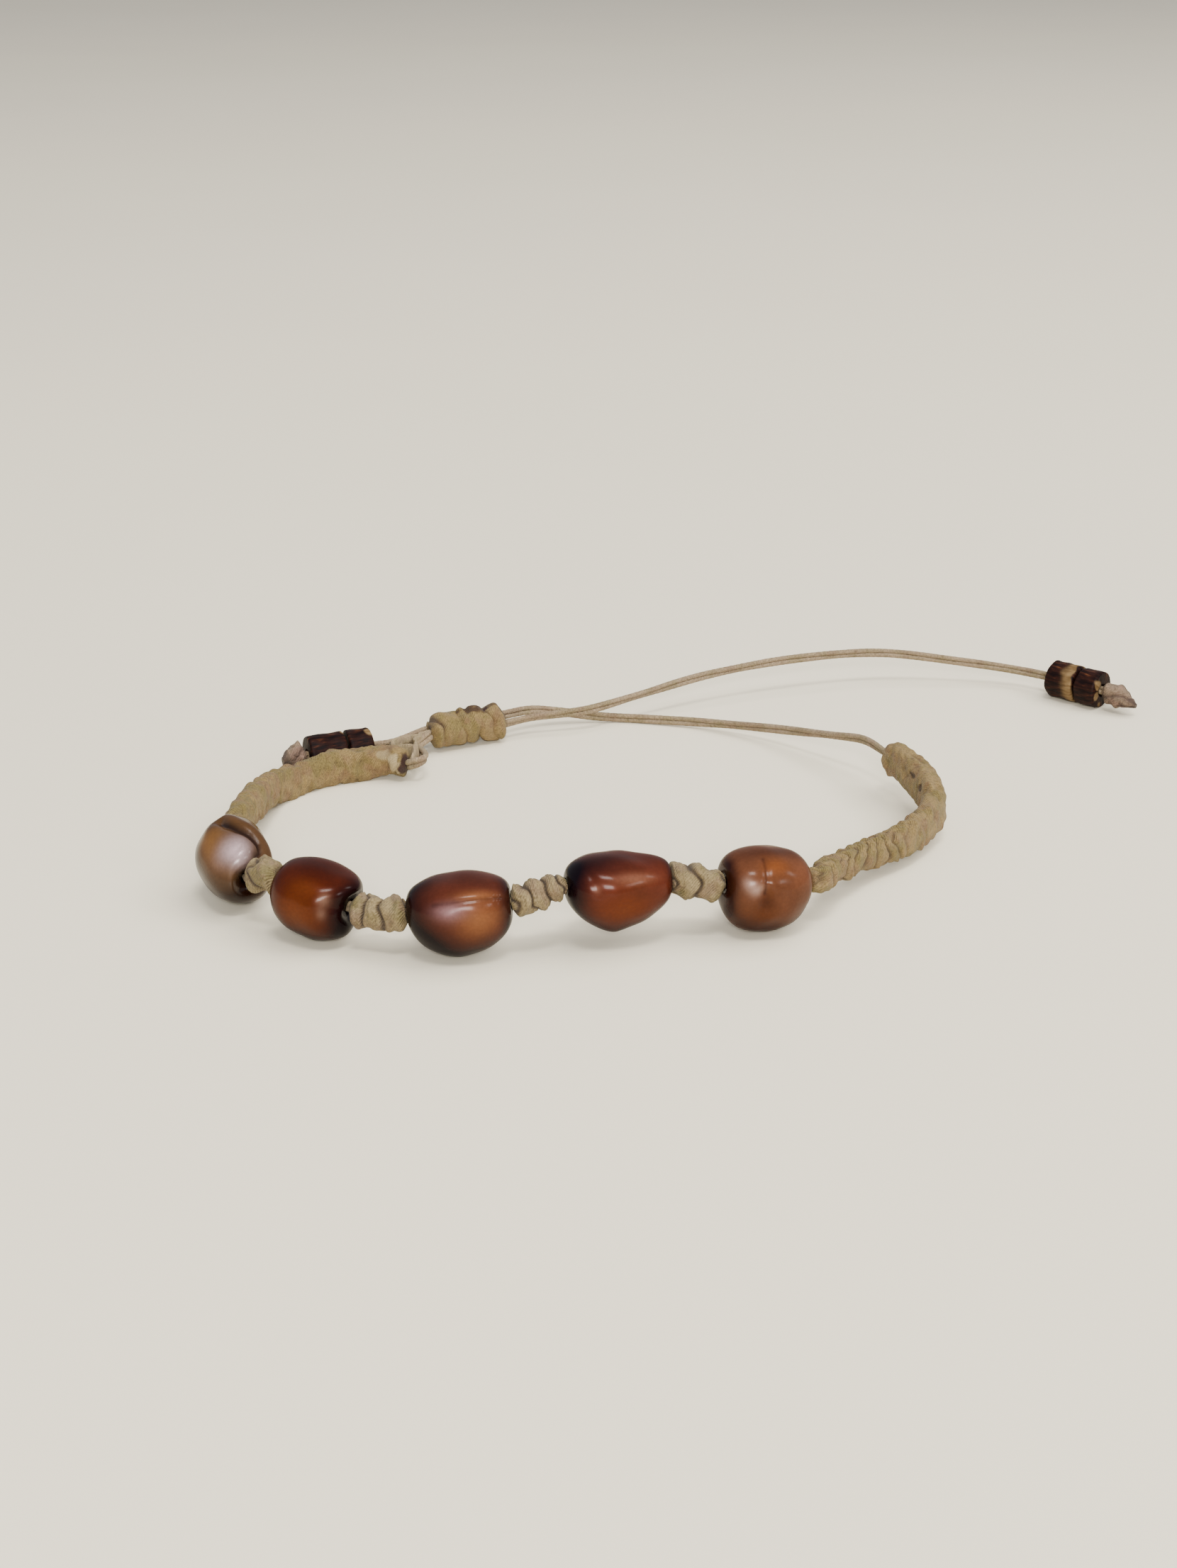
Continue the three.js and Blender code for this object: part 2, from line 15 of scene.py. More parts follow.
import bpy
import numpy as np
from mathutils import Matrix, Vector

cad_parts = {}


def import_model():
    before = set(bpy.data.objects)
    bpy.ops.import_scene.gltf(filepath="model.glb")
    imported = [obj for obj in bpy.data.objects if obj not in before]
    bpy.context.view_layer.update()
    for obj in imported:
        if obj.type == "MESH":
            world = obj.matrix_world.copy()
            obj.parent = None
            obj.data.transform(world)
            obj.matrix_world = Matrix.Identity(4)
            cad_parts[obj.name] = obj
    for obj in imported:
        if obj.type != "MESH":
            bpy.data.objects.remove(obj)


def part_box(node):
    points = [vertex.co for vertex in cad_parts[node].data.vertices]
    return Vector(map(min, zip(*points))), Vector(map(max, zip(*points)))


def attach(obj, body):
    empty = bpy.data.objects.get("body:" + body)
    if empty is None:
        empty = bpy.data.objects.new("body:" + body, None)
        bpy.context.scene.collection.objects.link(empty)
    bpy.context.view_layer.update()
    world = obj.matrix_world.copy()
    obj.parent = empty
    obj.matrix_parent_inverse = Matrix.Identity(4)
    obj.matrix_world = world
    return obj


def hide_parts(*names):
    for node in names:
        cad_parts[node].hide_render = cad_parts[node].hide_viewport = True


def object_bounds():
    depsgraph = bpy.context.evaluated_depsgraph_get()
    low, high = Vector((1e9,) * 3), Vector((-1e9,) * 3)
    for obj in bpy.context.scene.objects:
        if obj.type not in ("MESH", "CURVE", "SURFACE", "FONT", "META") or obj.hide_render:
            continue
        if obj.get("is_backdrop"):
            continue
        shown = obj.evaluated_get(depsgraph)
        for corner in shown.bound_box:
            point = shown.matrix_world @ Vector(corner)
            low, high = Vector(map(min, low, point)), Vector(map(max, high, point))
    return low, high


log = logging.getLogger("bracelet")

MM = 0.001
BODY = "root"

Array = np.ndarray
Colour = tuple[float, float, float]
Socket = bpy.types.NodeSocket
Finish = bpy.types.Material
Piece = bpy.types.Object

UP = np.array([0.0, 0.0, 1.0])

# Sizes that the pieces share, in millimetres
PAIR_D = 1.0
STRAND_D = 0.56
BORE_R = 0.8
GAP = 0.3
PEARL_R = 3.8
RIB_PITCH = 1.8
BAND_TALL = 4.2
BAND_THICK = 2.6
BAND_PRESS = 0.2
BAND_ON_ROW = 0.88  # the share of a band that follows the row, before it turns into the pearl
BAND_STRAIGHT = 1.5  # how far out of the pearl's mouth a band is straight
BAND_STOP = 0.12  # how far from the mouth it stops
BAND_LEFT_LENGTH = 37.8
BAND_RIGHT_LENGTH = 40.85
SLIDER_LENGTH = 9.5
SLIDER_R = 1.95
SLIDER_WAIST_R = 1.55
SLIDER_LIFT = 0.35
BEAD_R = 2.25

# The row from the tip of the left band to the tip of the right one, seen from above
ROW_ROUTE = (
    (-19.7, 14.1), (-22.1, 15.3), (-25.6, 14.8), (-29.8, 12.5), (-32.0, 10.4), (-33.8, 7.0),
    (-34.9, -1.3), (-35.9, -8.8), (-35.3, -15.8), (-31.9, -21.9), (-25.9, -25.7), (-19.2, -28.8),
    (-11.7, -30.3), (-4.2, -29.1), (3.3, -26.4), (10.6, -25.6), (16.5, -25.1), (20.7, -23.6),
    (24.1, -19.3), (28.5, -13.1), (33.2, -8.5), (36.3, -3.6), (37.3, 1.3), (36.1, 6.5), (33.8, 12.1),
)

# The cords' chosen points, as x, y and the height of the middle
CLOSING_ROUTE = (
    (31.7, 16.1, 4.3), (28.9, 19.3, 3.6), (25.7, 22.8, 2.7), (21.3, 26.9, 1.7), (14.9, 30.7, 0.9),
    (7.7, 32.8, 0.6), (1.5, 33.3, 0.8), (-2.9, 32.4, 1.7), (-6.3, 30.8, 2.5),
)
LINK_ROUTE = (
    (-18.4, 13.7, 2.6), (-17.9, 14.5, 2.6), (-17.9, 15.9, 2.4), (-18.5, 17.9, 2.2),
    (-19.2, 19.7, 2.0),
)
PULL_RIGHT_ROUTE = (
    (-6.3, 28.9, 2.2), (-2.9, 29.7, 2.4), (0.5, 30.6, 2.6), (6.6, 34.6, 3.0), (15.3, 39.8, 3.8),
    (26.1, 44.5, 4.2), (36.9, 47.4, 4.0), (47.3, 47.2, 2.9), (54.1, 45.7, 2.3),
)
PULL_LEFT_ROUTE = ((-21.9, 20.7, 2.1),)

# The web of wax: each row of a lobe holds x, y, z, half the height and half the thickness
WEB_WAX = 0.3
WAX_WEB = (
    (
        (-21.7, 16.5, 3.3, 0.75, 0.3), (-20.8, 18.1, 3.1, 0.95, 0.3), (-19.6, 20.2, 2.7, 0.7, 0.26),
        (-18.6, 22.2, 2.4, 0.55, 0.3), (-18.1, 23.4, 2.3, 0.5, 0.3),
    ),
    (
        (-19.3, 14.3, 2.4, 0.6, 0.3), (-19.0, 15.6, 2.4, 1.05, 0.34), (-19.1, 17.4, 2.4, 1.15, 0.34),
        (-19.2, 19.4, 2.4, 0.95, 0.3), (-18.9, 21.4, 2.4, 0.5, 0.25),
    ),
    (
        (-21.4, 16.4, 2.5, 0.7, 0.2), (-20.5, 16.8, 2.4, 1.1, 0.2), (-19.7, 17.0, 2.4, 1.1, 0.2),
        (-18.8, 17.3, 2.5, 0.7, 0.2),
    ),
)

# Where the sliding knot's middle and each string's first bead face are, and which way they point
SLIDER_PLACE = (-13.7, 25.9, math.radians(27))
BEADS_RIGHT_PLACE = (58.1, 43.1, math.radians(-43))
BEADS_LEFT_PLACE = (-24.4, 19.4, math.radians(-157))


class Ending(Enum):
    """How a surface carried along a path ends: each end in a cap, or the last ring on the first."""

    CAPPED = "capped"
    BORED = "bored"


# Arrays and curves


def smoothstep(value: Array, low: float, high: float) -> Array:
    """Return 0 below low, 1 above high and 3t^2 - 2t^3 between them."""
    share = np.clip((np.asarray(value, float) - low) / (high - low), 0.0, 1.0)
    return share * share * (3.0 - 2.0 * share)


def unit(vectors: Array) -> Array:
    """Return the vectors of the last axis at length one."""
    return vectors / np.linalg.norm(vectors, axis=-1, keepdims=True)


def angles_round(count: int) -> Array:
    """Return angles spread evenly round a ring, from 0."""
    return np.linspace(0, 2 * np.pi, count, endpoint=False)


def beside(heading: Array) -> tuple[Array, Array]:
    """Return the level direction to the left of a heading, and the upward one square to both."""
    inward = unit(np.cross(UP, heading))
    return inward, np.cross(heading, inward)


def spokes(angle: Array, inward: Array, up: Array) -> Array:
    """Return a ring's unit spokes, inward by the cosine of the angle and up by its sine."""
    return np.cos(angle)[..., None] * inward + np.sin(angle)[..., None] * up


@dataclass(frozen=True)
class Ripple:
    """A smooth random field: a sum of plane waves of chosen wavelength.

    Each wave has its own direction and phase, drawn from the seed, so the field is the same at
    each run. Its values lie mostly between -1 and 1.
    """

    wavelength: float
    seed: int
    waves: int = 14

    def at(self, points: Array) -> Array:
        """Return the field at points.

        Args:
            points: places in millimetres, with x, y, z on the last axis.

        Returns:
            One value for each place.
        """
        draw = np.random.default_rng(self.seed)
        headings = unit(draw.normal(size=(self.waves, 3)))
        lengths = self.wavelength * draw.uniform(0.7, 1.5, self.waves)
        phases = draw.uniform(0, 2 * np.pi, self.waves)
        turns = points @ (headings * (2 * np.pi / lengths)[:, None]).T + phases
        return np.sin(turns).sum(-1) * math.sqrt(2.0 / self.waves) * 0.7


def spline(points: Array, samples: int = 48) -> Array:
    """Return a dense line through points: a centripetal Catmull-Rom spline.

    Each span is a cubic Hermite curve. Its end tangents are the weighted mean slopes of the two
    neighbouring spans, with the square root of each span's chord as its duration.

    Args:
        points: the places that the line passes, one a row.
        samples: places on each span.

    Returns:
        The line's places, one a row.
    """
    points = np.asarray(points, float)
    first = 2 * points[0] - points[1]
    last = 2 * points[-1] - points[-2]
    whole = np.vstack([first, points, last])
    before, start, end, after = whole[:-3], whole[1:-2], whole[2:-1], whole[3:]
    t0 = np.sqrt(np.linalg.norm(start - before, axis=1))[:, None]
    t1 = np.sqrt(np.linalg.norm(end - start, axis=1))[:, None]
    t2 = np.sqrt(np.linalg.norm(after - end, axis=1))[:, None]
    leave = ((start - before) / t0 - (end - before) / (t0 + t1) + (end - start) / t1) * t1
    arrive = ((end - start) / t1 - (after - start) / (t1 + t2) + (after - end) / t2) * t1
    share = np.linspace(0, 1, samples, endpoint=False)[None, :, None]
    square, cube = share**2, share**3
    line = (
        (2 * cube - 3 * square + 1) * start[:, None]
        + (cube - 2 * square + share) * leave[:, None]
        + (3 * square - 2 * cube) * end[:, None]
        + (cube - square) * arrive[:, None]
    )
    return np.vstack([line.reshape(-1, points.shape[1]), points[-1]])


@dataclass
class Path:
    """A line in space that is walked by distance."""

    line: Array
    walked: Array = field(init=False)

    def __post_init__(self) -> None:
        """Work out the distance from the start to each place on the line."""
        steps = np.linalg.norm(np.diff(self.line, axis=0), axis=1)
        self.walked = np.concatenate([[0.0], np.cumsum(steps)])

    @property
    def length(self) -> float:
        """The line's length in millimetres."""
        return float(self.walked[-1])

    def at(self, distance: Array) -> Array:
        """Return the places at distances from the start, one a row."""
        return np.stack([np.interp(distance, self.walked, axis) for axis in self.line.T], axis=-1)

    def axes(self, distance: Array) -> tuple[Array, Array, Array, Array]:
        """Return the places and directions at distances from the start.

        The tangent comes from a short step back and ahead. Inward is level and points to the
        left of the way along, and up completes the three.

        Args:
            distance: distances from the start in millimetres.

        Returns:
            The places, and the tangent, inward and up directions there, one a row.
        """
        reach = min(0.2, self.length / 50)
        low = np.clip(np.asarray(distance, float) - reach, 0, self.length)
        high = np.clip(np.asarray(distance, float) + reach, 0, self.length)
        tangent = unit(self.at(high) - self.at(low))
        inward = unit(np.cross(UP, tangent))
        up = unit(np.cross(tangent, inward))
        return self.at(distance), tangent, inward, up


def column(rows: Sequence[tuple[float, ...]], key: int, at: Array) -> Array:
    """Return one column of a table of sections, on smooth steps between its rows.

    Args:
        rows: sections, with their place as a share of the length first.
        key: the number of the column.
        at: the places that are asked for.

    Returns:
        The column's value at each place.
    """
    places = np.array([row[0] for row in rows])
    values = np.array([row[key] for row in rows])
    at = np.clip(at, places[0], places[-1])
    high = np.clip(np.searchsorted(places, at), 1, len(rows) - 1)
    share = (at - places[high - 1]) / (places[high] - places[high - 1])
    share = share * share * (3 - 2 * share)
    return values[high - 1] + (values[high] - values[high - 1]) * share


# Meshes


def closed_skin(name: str, grid: Array, ending: Ending, along: Array | None = None) -> Piece:
    """Make an object from rings of points, closed round each ring.

    Args:
        name: the object's name.
        grid: places in millimetres, as rings by sides by x, y, z.
        ending: whether the end rings get a cap or the last ring joins the first.
        along: the distance of each ring, for the UV map's second coordinate.

    Returns:
        The object, at the origin, with a UV map of share round and distance along.
    """
    rings, sides = grid.shape[:2]
    index = np.arange(rings * sides).reshape(rings, sides)
    spans = rings if ending is Ending.BORED else rings - 1
    low = index[np.arange(spans)]
    high = index[(np.arange(spans) + 1) % rings]
    quads = np.stack([low, np.roll(low, -1, 1), np.roll(high, -1, 1), high], axis=-1).reshape(-1, 4)
    points = grid.reshape(-1, 3)
    faces = quads.tolist()
    if ending is Ending.CAPPED:
        hubs = np.array([grid[0].mean(0), grid[-1].mean(0)])
        points = np.vstack([points, hubs])
        first, last = rings * sides, rings * sides + 1
        turn = np.roll(np.arange(sides), -1)
        faces += np.stack([np.full(sides, first), index[0][turn], index[0]], axis=-1).tolist()
        faces += np.stack([np.full(sides, last), index[-1], index[-1][turn]], axis=-1).tolist()
    if along is None:
        steps = np.linalg.norm(np.diff(grid.mean(1), axis=0), axis=1)
        along = np.concatenate([[0.0], np.cumsum(steps)])
    mesh = bpy.data.meshes.new(name)
    mesh.from_pydata((points * MM).tolist(), [], faces)
    if signed_volume(points, quads) < 0:
        mesh.flip_normals()
    piece = bpy.data.objects.new(name, mesh)
    bpy.context.scene.collection.objects.link(piece)
    mesh.polygons.foreach_set("use_smooth", np.ones(len(mesh.polygons), bool))
    write_surface_map(mesh, rings, sides, np.asarray(along, float))
    return piece


def signed_volume(points: Array, quads: Array) -> float:
    """Return a sixth of the sum of triple products over the halves of each quad.

    Args:
        points: the mesh's places.
        quads: the numbers of each quad's four corners.

    Returns:
        The volume that the quads enclose, negative where they face inwards.
    """
    a, b, c, d = (points[quads[:, corner]] for corner in range(4))
    halves = np.einsum("ij,ij->i", a, np.cross(b, c)) + np.einsum("ij,ij->i", a, np.cross(c, d))
    return float(halves.sum() / 6)


def write_surface_map(mesh: bpy.types.Mesh, rings: int, sides: int, along: Array) -> None:
    """Write a UV map of the share round the ring and the distance along in millimetres.

    The share of a face that closes the ring runs on past 1, so the map has no backward face.

    Args:
        mesh: the mesh, with its grid's points first.
        rings: how many rings the grid has.
        sides: how many points each ring has.
        along: the distance of each ring.
    """
    vertex = np.zeros(len(mesh.loops), np.int64)
    mesh.loops.foreach_get("vertex_index", vertex)
    on_grid = vertex < rings * sides
    ring = np.where(on_grid, vertex // sides, 0)
    side = np.where(on_grid, vertex % sides, 0)
    around = side / sides
    starts = np.zeros(len(mesh.polygons), np.int64)
    totals = np.zeros(len(mesh.polygons), np.int64)
    mesh.polygons.foreach_get("loop_start", starts)
    mesh.polygons.foreach_get("loop_total", totals)
    face_of_loop = np.repeat(np.arange(len(mesh.polygons)), totals)
    highest = np.maximum.reduceat(around, starts)[face_of_loop]
    around = np.where((highest > 0.7) & (around < 0.3), around + 1.0, around)
    layer = mesh.uv_layers.new(name="surface")
    pairs = np.stack([around, along[ring]], axis=-1)
    layer.data.foreach_set("uv", pairs.astype(np.float32).ravel())


def write_field(piece: Piece, name: str, values: Array) -> None:
    """Write one number a vertex as a point attribute.

    Args:
        piece: the object.
        name: the attribute's name.
        values: the numbers in the order of the vertices. Any vertex past them gets 0.
    """
    whole = np.zeros(len(piece.data.vertices), np.float32)
    flat = np.asarray(values, np.float32).ravel()
    whole[: len(flat)] = flat
    piece.data.attributes.new(name, "FLOAT", "POINT").data.foreach_set("value", whole)


def joined(name: str, pieces: Sequence[Piece]) -> Piece:
    """Join pieces into the first one.

    Args:
        name: the name of the joined object.
        pieces: the objects.

    Returns:
        The first object, which now holds them all.
    """
    bpy.ops.object.select_all(action="DESELECT")
    for piece in pieces:
        piece.select_set(True)
    bpy.context.view_layer.objects.active = pieces[0]
    if len(pieces) > 1:
        bpy.ops.object.join()
    pieces[0].name = name
    pieces[0].data.name = name
    return pieces[0]


def seat(piece: Piece, finish: Finish, slot: str, *nodes: str) -> None:
    """Dress a piece, let it ride on the body and stand for its nodes, and report it.

    Args:
        piece: the object.
        finish: its one material.
        slot: not used.
        nodes: the solids that it takes the place of.
    """
    piece.data.materials.clear()
    piece.data.materials.append(finish)
    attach(piece, BODY)
    if nodes:
        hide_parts(*nodes)
    log.info("%s: %d faces, for %s", piece.name, len(piece.data.polygons), ", ".join(nodes) or "detail")


# Finishes


def toned(colour: Colour, share: float) -> Colour:
    """Return a colour made darker or lighter by a share."""
    return tuple(part * share for part in colour)


class Shading:
    """A material's nodes, added and linked by short calls."""

    def __init__(self, name: str) -> None:
        """Start a material with a Principled shader.

        Args:
            name: the material's name.
        """
        self.material = bpy.data.materials.new(name)
        self.material.use_nodes = True
        self.tree = self.material.node_tree
        self.shader = self.tree.nodes["Principled BSDF"]
        self.coordinates = self.node("ShaderNodeTexCoord")

    def node(self, kind: str, **settings: object) -> bpy.types.Node:
        """Add a node.

        Args:
            kind: the node's type.
            settings: its properties by name.

        Returns:
            The node.
        """
        made = self.tree.nodes.new(kind)
        for key, value in settings.items():
            setattr(made, key, value)
        return made

    def link(self, source: Socket, node: bpy.types.Node, socket: str | int) -> None:
        """Link an output to a named or numbered input."""
        self.tree.links.new(source, node.inputs[socket])

    def set(self, **values: object) -> None:
        """Set constants on the shader's own sockets, with underscores for spaces."""
        for key, value in values.items():
            self.shader.inputs[key.replace("_", " ")].default_value = value

    @property
    def place(self) -> Socket:
        """The Object coordinates."""
        return self.coordinates.outputs["Object"]

    def surface(self, across: float, along: float) -> Socket:
        """Return the piece's own surface map.

        Args:
            across: features a turn round the piece.
            along: features a millimetre along it.

        Returns:
            The scaled map.
        """
        source = self.node("ShaderNodeUVMap", uv_map="surface")
        scaled = self.node("ShaderNodeMapping")
        scaled.inputs["Scale"].default_value = (across, along, 1.0)
        self.link(source.outputs["UV"], scaled, "Vector")
        return scaled.outputs["Vector"]

    def field(self, name: str) -> Socket:
        """Return a point attribute."""
        return self.node("ShaderNodeAttribute", attribute_name=name).outputs["Fac"]

    def noise(self, scale: float, detail: float = 3.0, vector: Socket | None = None) -> Socket:
        """Return noise between 0 and 1.

        Args:
            scale: features a metre, or a unit of the vector.
            detail: how many finer layers it has.
            vector: what it is laid on, or the Object coordinates.

        Returns:
            The noise's value.
        """
        made = self.node("ShaderNodeTexNoise")
        made.inputs["Scale"].default_value = scale
        made.inputs["Detail"].default_value = detail
        self.link(vector or self.place, made, "Vector")
        return made.outputs["Fac"]

    def ramp(self, source: Socket, stops: Sequence[tuple[float, Colour]]) -> Socket:
        """Return colours between stops along a value.

        Args:
            source: the value.
            stops: each stop's value and colour, in rising order.

        Returns:
            The colour.
        """
        made = self.node("ShaderNodeValToRGB")
        elements = made.color_ramp.elements
        while len(elements) < len(stops):
            elements.new(0.5)
        for element, (position, colour) in zip(elements, stops):
            element.position = position
            element.color = (*colour, 1.0)
        self.link(source, made, "Fac")
        return made.outputs["Color"]

    def level(self, source: Socket, low: float, high: float, to: tuple[float, float] = (0.0, 1.0)) -> Socket:
        """Return a value carried smoothly from one range to another.

        Args:
            source: the value.
            low: where its range starts.
            high: where its range ends.
            to: the range that it is carried to.

        Returns:
            The carried value, level outside the range.
        """
        made = self.node("ShaderNodeMapRange", interpolation_type="SMOOTHSTEP")
        for socket, value in zip((1, 2, 3, 4), (low, high, *to)):
            made.inputs[socket].default_value = value
        self.link(source, made, 0)
        return made.outputs["Result"]

    def mix(
        self, share: Socket | float, first: Socket | Colour, second: Socket | Colour, blend: str = "MIX"
    ) -> Socket:
        """Return one colour mixed with another.

        Args:
            share: how much of the second there is.
            first: the colour below.
            second: the colour above.
            blend: how the two are mixed.

        Returns:
            The mixed colour.
        """
        made = self.node("ShaderNodeMix", data_type="RGBA", blend_type=blend)
        for socket, value in ((0, share), (6, first), (7, second)):
            if isinstance(value, Socket):
                self.link(value, made, socket)
            elif isinstance(value, tuple):
                made.inputs[socket].default_value = (*value, 1.0)
            else:
                made.inputs[socket].default_value = value
        return made.outputs[2]

    def bump(self, height: Socket, depth_mm: float, strength: float = 1.0) -> None:
        """Add relief to the shader's normal, on top of any that is there.

        Args:
            height: the relief's height between 0 and 1.
            depth_mm: the depth that it stands for.
            strength: how much of it shows.
        """
        made = self.node("ShaderNodeBump")
        made.inputs["Strength"].default_value = strength
        made.inputs["Distance"].default_value = depth_mm * MM
        self.link(height, made, "Height")
        normal = self.shader.inputs["Normal"]
        if normal.is_linked:
            self.link(normal.links[0].from_socket, made, "Normal")
        self.link(made.outputs["Normal"], self.shader, "Normal")


@dataclass(frozen=True)
class WaxedThread:
    """Waxed thread: a dull satin beige in olive and pinkish patches, with twisted plies."""

    name: str
    light: Colour
    olive: Colour
    rose: Colour
    plies_round: float
    plies_along: float
    wax: Colour = (0.36, 0.28, 0.15)
    singe: Colour = (0.025, 0.008, 0.004)
    # Share of the rose colour that the painted shade in the hollows is painted in.
    painted_shade_tone: float = 0.36
    roughness: float = 0.62

    def material(self) -> Finish:
        """Return the finish: twisted ply lines on the surface map over patches of tone.

        The ply lines are a sine of share round plus distance along, so they climb as a helix.

        Returns:
            The material, which reads the fields wax and singe, and the field of painted shade in the hollows,
            of a mesh that has them.
        """
        made = Shading(self.name)
        tone = made.mix(made.level(made.noise(420.0, 3.0), 0.42, 0.62), self.light, self.olive)
        shifted = made.node("ShaderNodeMapping")
        shifted.inputs["Location"].default_value = (0.3, 0.7, 0.2)
        made.link(made.place, shifted, "Vector")
        rosy = made.noise(520.0, 3.0, shifted.outputs["Vector"])
        tone = made.mix(made.level(rosy, 0.48, 0.66, (0.0, 0.8)), tone, self.rose)
        specks = ((0.3, (0.55, 0.52, 0.47)), (0.55, (1.0, 1.0, 1.0)), (0.75, (1.25, 1.22, 1.15)))
        grain = made.ramp(made.noise(4600.0, 4.0), specks)
        tone = made.mix(0.8, tone, grain, "MULTIPLY")
        # Painted shade: the hollows between turns, coils and knots are darkened towards a deep rose.
        painted_shade = made.level(made.field("painted_shade"), 0.15, 1.0)
        shaded = made.mix(painted_shade, tone, toned(self.rose, self.painted_shade_tone))
        waxed = made.mix(made.field("wax"), shaded, self.wax)
        made.link(made.mix(made.field("singe"), waxed, self.singe), made.shader, "Base Color")
        plies = made.node("ShaderNodeTexWave", wave_type="BANDS", bands_direction="DIAGONAL")
        plies.inputs["Scale"].default_value = 1.0
        plies.inputs["Distortion"].default_value = 1.4
        plies.inputs["Detail"].default_value = 2.0
        made.link(made.surface(self.plies_round, self.plies_along), plies, "Vector")
        made.bump(plies.outputs["Fac"], 0.06, 0.9)
        made.bump(made.noise(4200.0, 3.0), 0.09, 0.9)
        made.set(Roughness=self.roughness, Specular_IOR_Level=0.25, Sheen_Weight=0.05, Sheen_Roughness=0.5)
        return made.material


@dataclass(frozen=True)
class Nacre:
    """A pearl's skin: a soft body colour that changes over the pearl, under a clear gloss."""

    name: str
    body: Colour
    warm: Colour
    # Colour of the darker patches: partly the pearl's own tone, partly painted shade on rims, undersides,
    # ends, creases and in the bore.
    dark_and_painted_shade: Colour
    # Colour of the pale patches: partly the pearl's own tone, partly a painted sheen round the highlights.
    pale: Colour
    coat: float = 0.5
    coat_ior: float = 1.3
    coat_roughness: float = 0.19
    coat_tint: Colour = (0.8, 0.66, 0.58)

    def material(self) -> Finish:
        """Return the finish: a cloudy body colour with warm, pale and dark laid over it in turn.

        Returns:
            The material, which reads the pearl's fields of warm, pale and darker patches; the pale ones paint
            sheen round the highlights, the darker ones paint shade on rims, undersides, ends, creases and in
            the bore.
        """
        made = Shading(self.name)
        cloud = made.level(made.noise(300.0, 3.0), 0.3, 0.75)
        tone = made.mix(cloud, toned(self.body, 0.85), toned(self.body, 1.2))
        tone = made.mix(made.field("warm"), tone, self.warm)
        # Pale patches, partly a painted sheen round the highlights.
        tone = made.mix(made.field("pale"), tone, self.pale)
        # Darker patches, partly painted shade on rims, undersides, ends, creases and in the bore.
        tone = made.mix(made.field("dark_and_painted_shade"), tone, self.dark_and_painted_shade)
        speck = made.level(made.noise(3200.0, 2.0), 0.35, 0.7, (0.93, 1.04))
        made.link(made.mix(1.0, tone, speck, "MULTIPLY"), made.shader, "Base Color")
        made.bump(made.noise(900.0, 2.0), 0.02, 0.4)
        made.set(Metallic=0.15, Roughness=0.36, Specular_IOR_Level=0.0)
        made.set(Coat_Weight=self.coat, Coat_Roughness=self.coat_roughness, Coat_IOR=self.coat_ior)
        made.set(Coat_Tint=(*self.coat_tint, 1.0))
        return made.material


@dataclass(frozen=True)
class Shell:
    """Polished coconut shell: near-black brown with fibres along the bead and tan patches.

    browns and tans are the fibres' colours, each as a place between 0 and 1 and a colour.
    """

    name: str
    browns: tuple[tuple[float, Colour], ...] = (
        (0.4, (0.004, 0.001, 0.001)), (0.6, (0.018, 0.005, 0.003)), (0.76, (0.09, 0.03, 0.01)),
    )
    tans: tuple[tuple[float, Colour], ...] = ((0.3, (0.09, 0.05, 0.018)), (0.7, (0.2, 0.13, 0.06)))

    def material(self) -> Finish:
        """Return the finish: fibres in browns or tans along the bead, by its field.

        Returns:
            The material, which reads the field tan of the bead's mesh, where the pith shows.
        """
        made = Shading(self.name)
        fibres = made.noise(1.0, 4.0, made.surface(38.0, 0.55))
        brown = made.ramp(fibres, self.browns)
        tan = made.ramp(fibres, self.tans)
        made.link(made.mix(made.field("tan"), brown, tan), made.shader, "Base Color")
        made.bump(fibres, 0.08, 0.7)
        made.bump(made.noise(2600.0, 3.0), 0.06, 0.6)
        made.set(Roughness=0.55, Specular_IOR_Level=0.1)
        return made.material


@dataclass(frozen=True)
class Tabletop:
    """The plain pale surface that the bracelet lies on."""

    colour: Colour = (0.78, 0.705, 0.545)

    def material(self) -> Finish:
        """Return an even matt finish.

        Returns:
            The material, a little darker in wide soft patches.
        """
        made = Shading("tabletop")
        patches = made.level(made.noise(9.0, 2.0), 0.3, 0.7)
        tone = made.mix(patches, self.colour, toned(self.colour, 0.985))
        made.link(tone, made.shader, "Base Color")
        made.set(Roughness=0.55, Specular_IOR_Level=0.3)
        return made.material


# The row


@dataclass(frozen=True)
class Outline:
    """How far one side of a pearl stands off its hole."""

    reach: float
    peak: float
    full: float

    def at(self, share: Array, mouth: Array) -> Array:
        """Return the stand-off: a superellipse on each side of the peak, over the mouths.

        Args:
            share: shares of the pearl's length.
            mouth: the blunt ends' radius at each share.

        Returns:
            The distance from the hole's middle at each share.
        """
        before, after = (self.peak - share) / self.peak, (share - self.peak) / (1 - self.peak)
        off_peak = np.where(share < self.peak, before, after)
        rise = np.clip(1 - np.clip(off_peak, 0, 1) ** self.full, 0, 1) ** (1 / self.full)
        return mouth + (self.reach - mouth) * rise


@dataclass(frozen=True)
class Mark:
    """A soft-edged patch on a pearl, for a hollow, a swelling or a change of colour.

    at is a share of the length and turn an angle round the hole in degrees, with 0 inwards of
    the loop, 90 up and 180 outwards. Its strength falls off as a bell curve, over wide as a share
    of the length and over round in degrees.
    """

    at: float
    turn: float
    wide: float
    round: float
    amount: float

    def over(self, share: Array, angle: Array, length: float) -> Array:
        """Return the patch's strength over the surface of a pearl of any length."""
        turned = np.angle(np.exp(1j * (angle - math.radians(self.turn)))) / math.radians(self.round)
        return self.amount * np.exp(-(((share - self.at) / self.wide) ** 2) - turned**2)


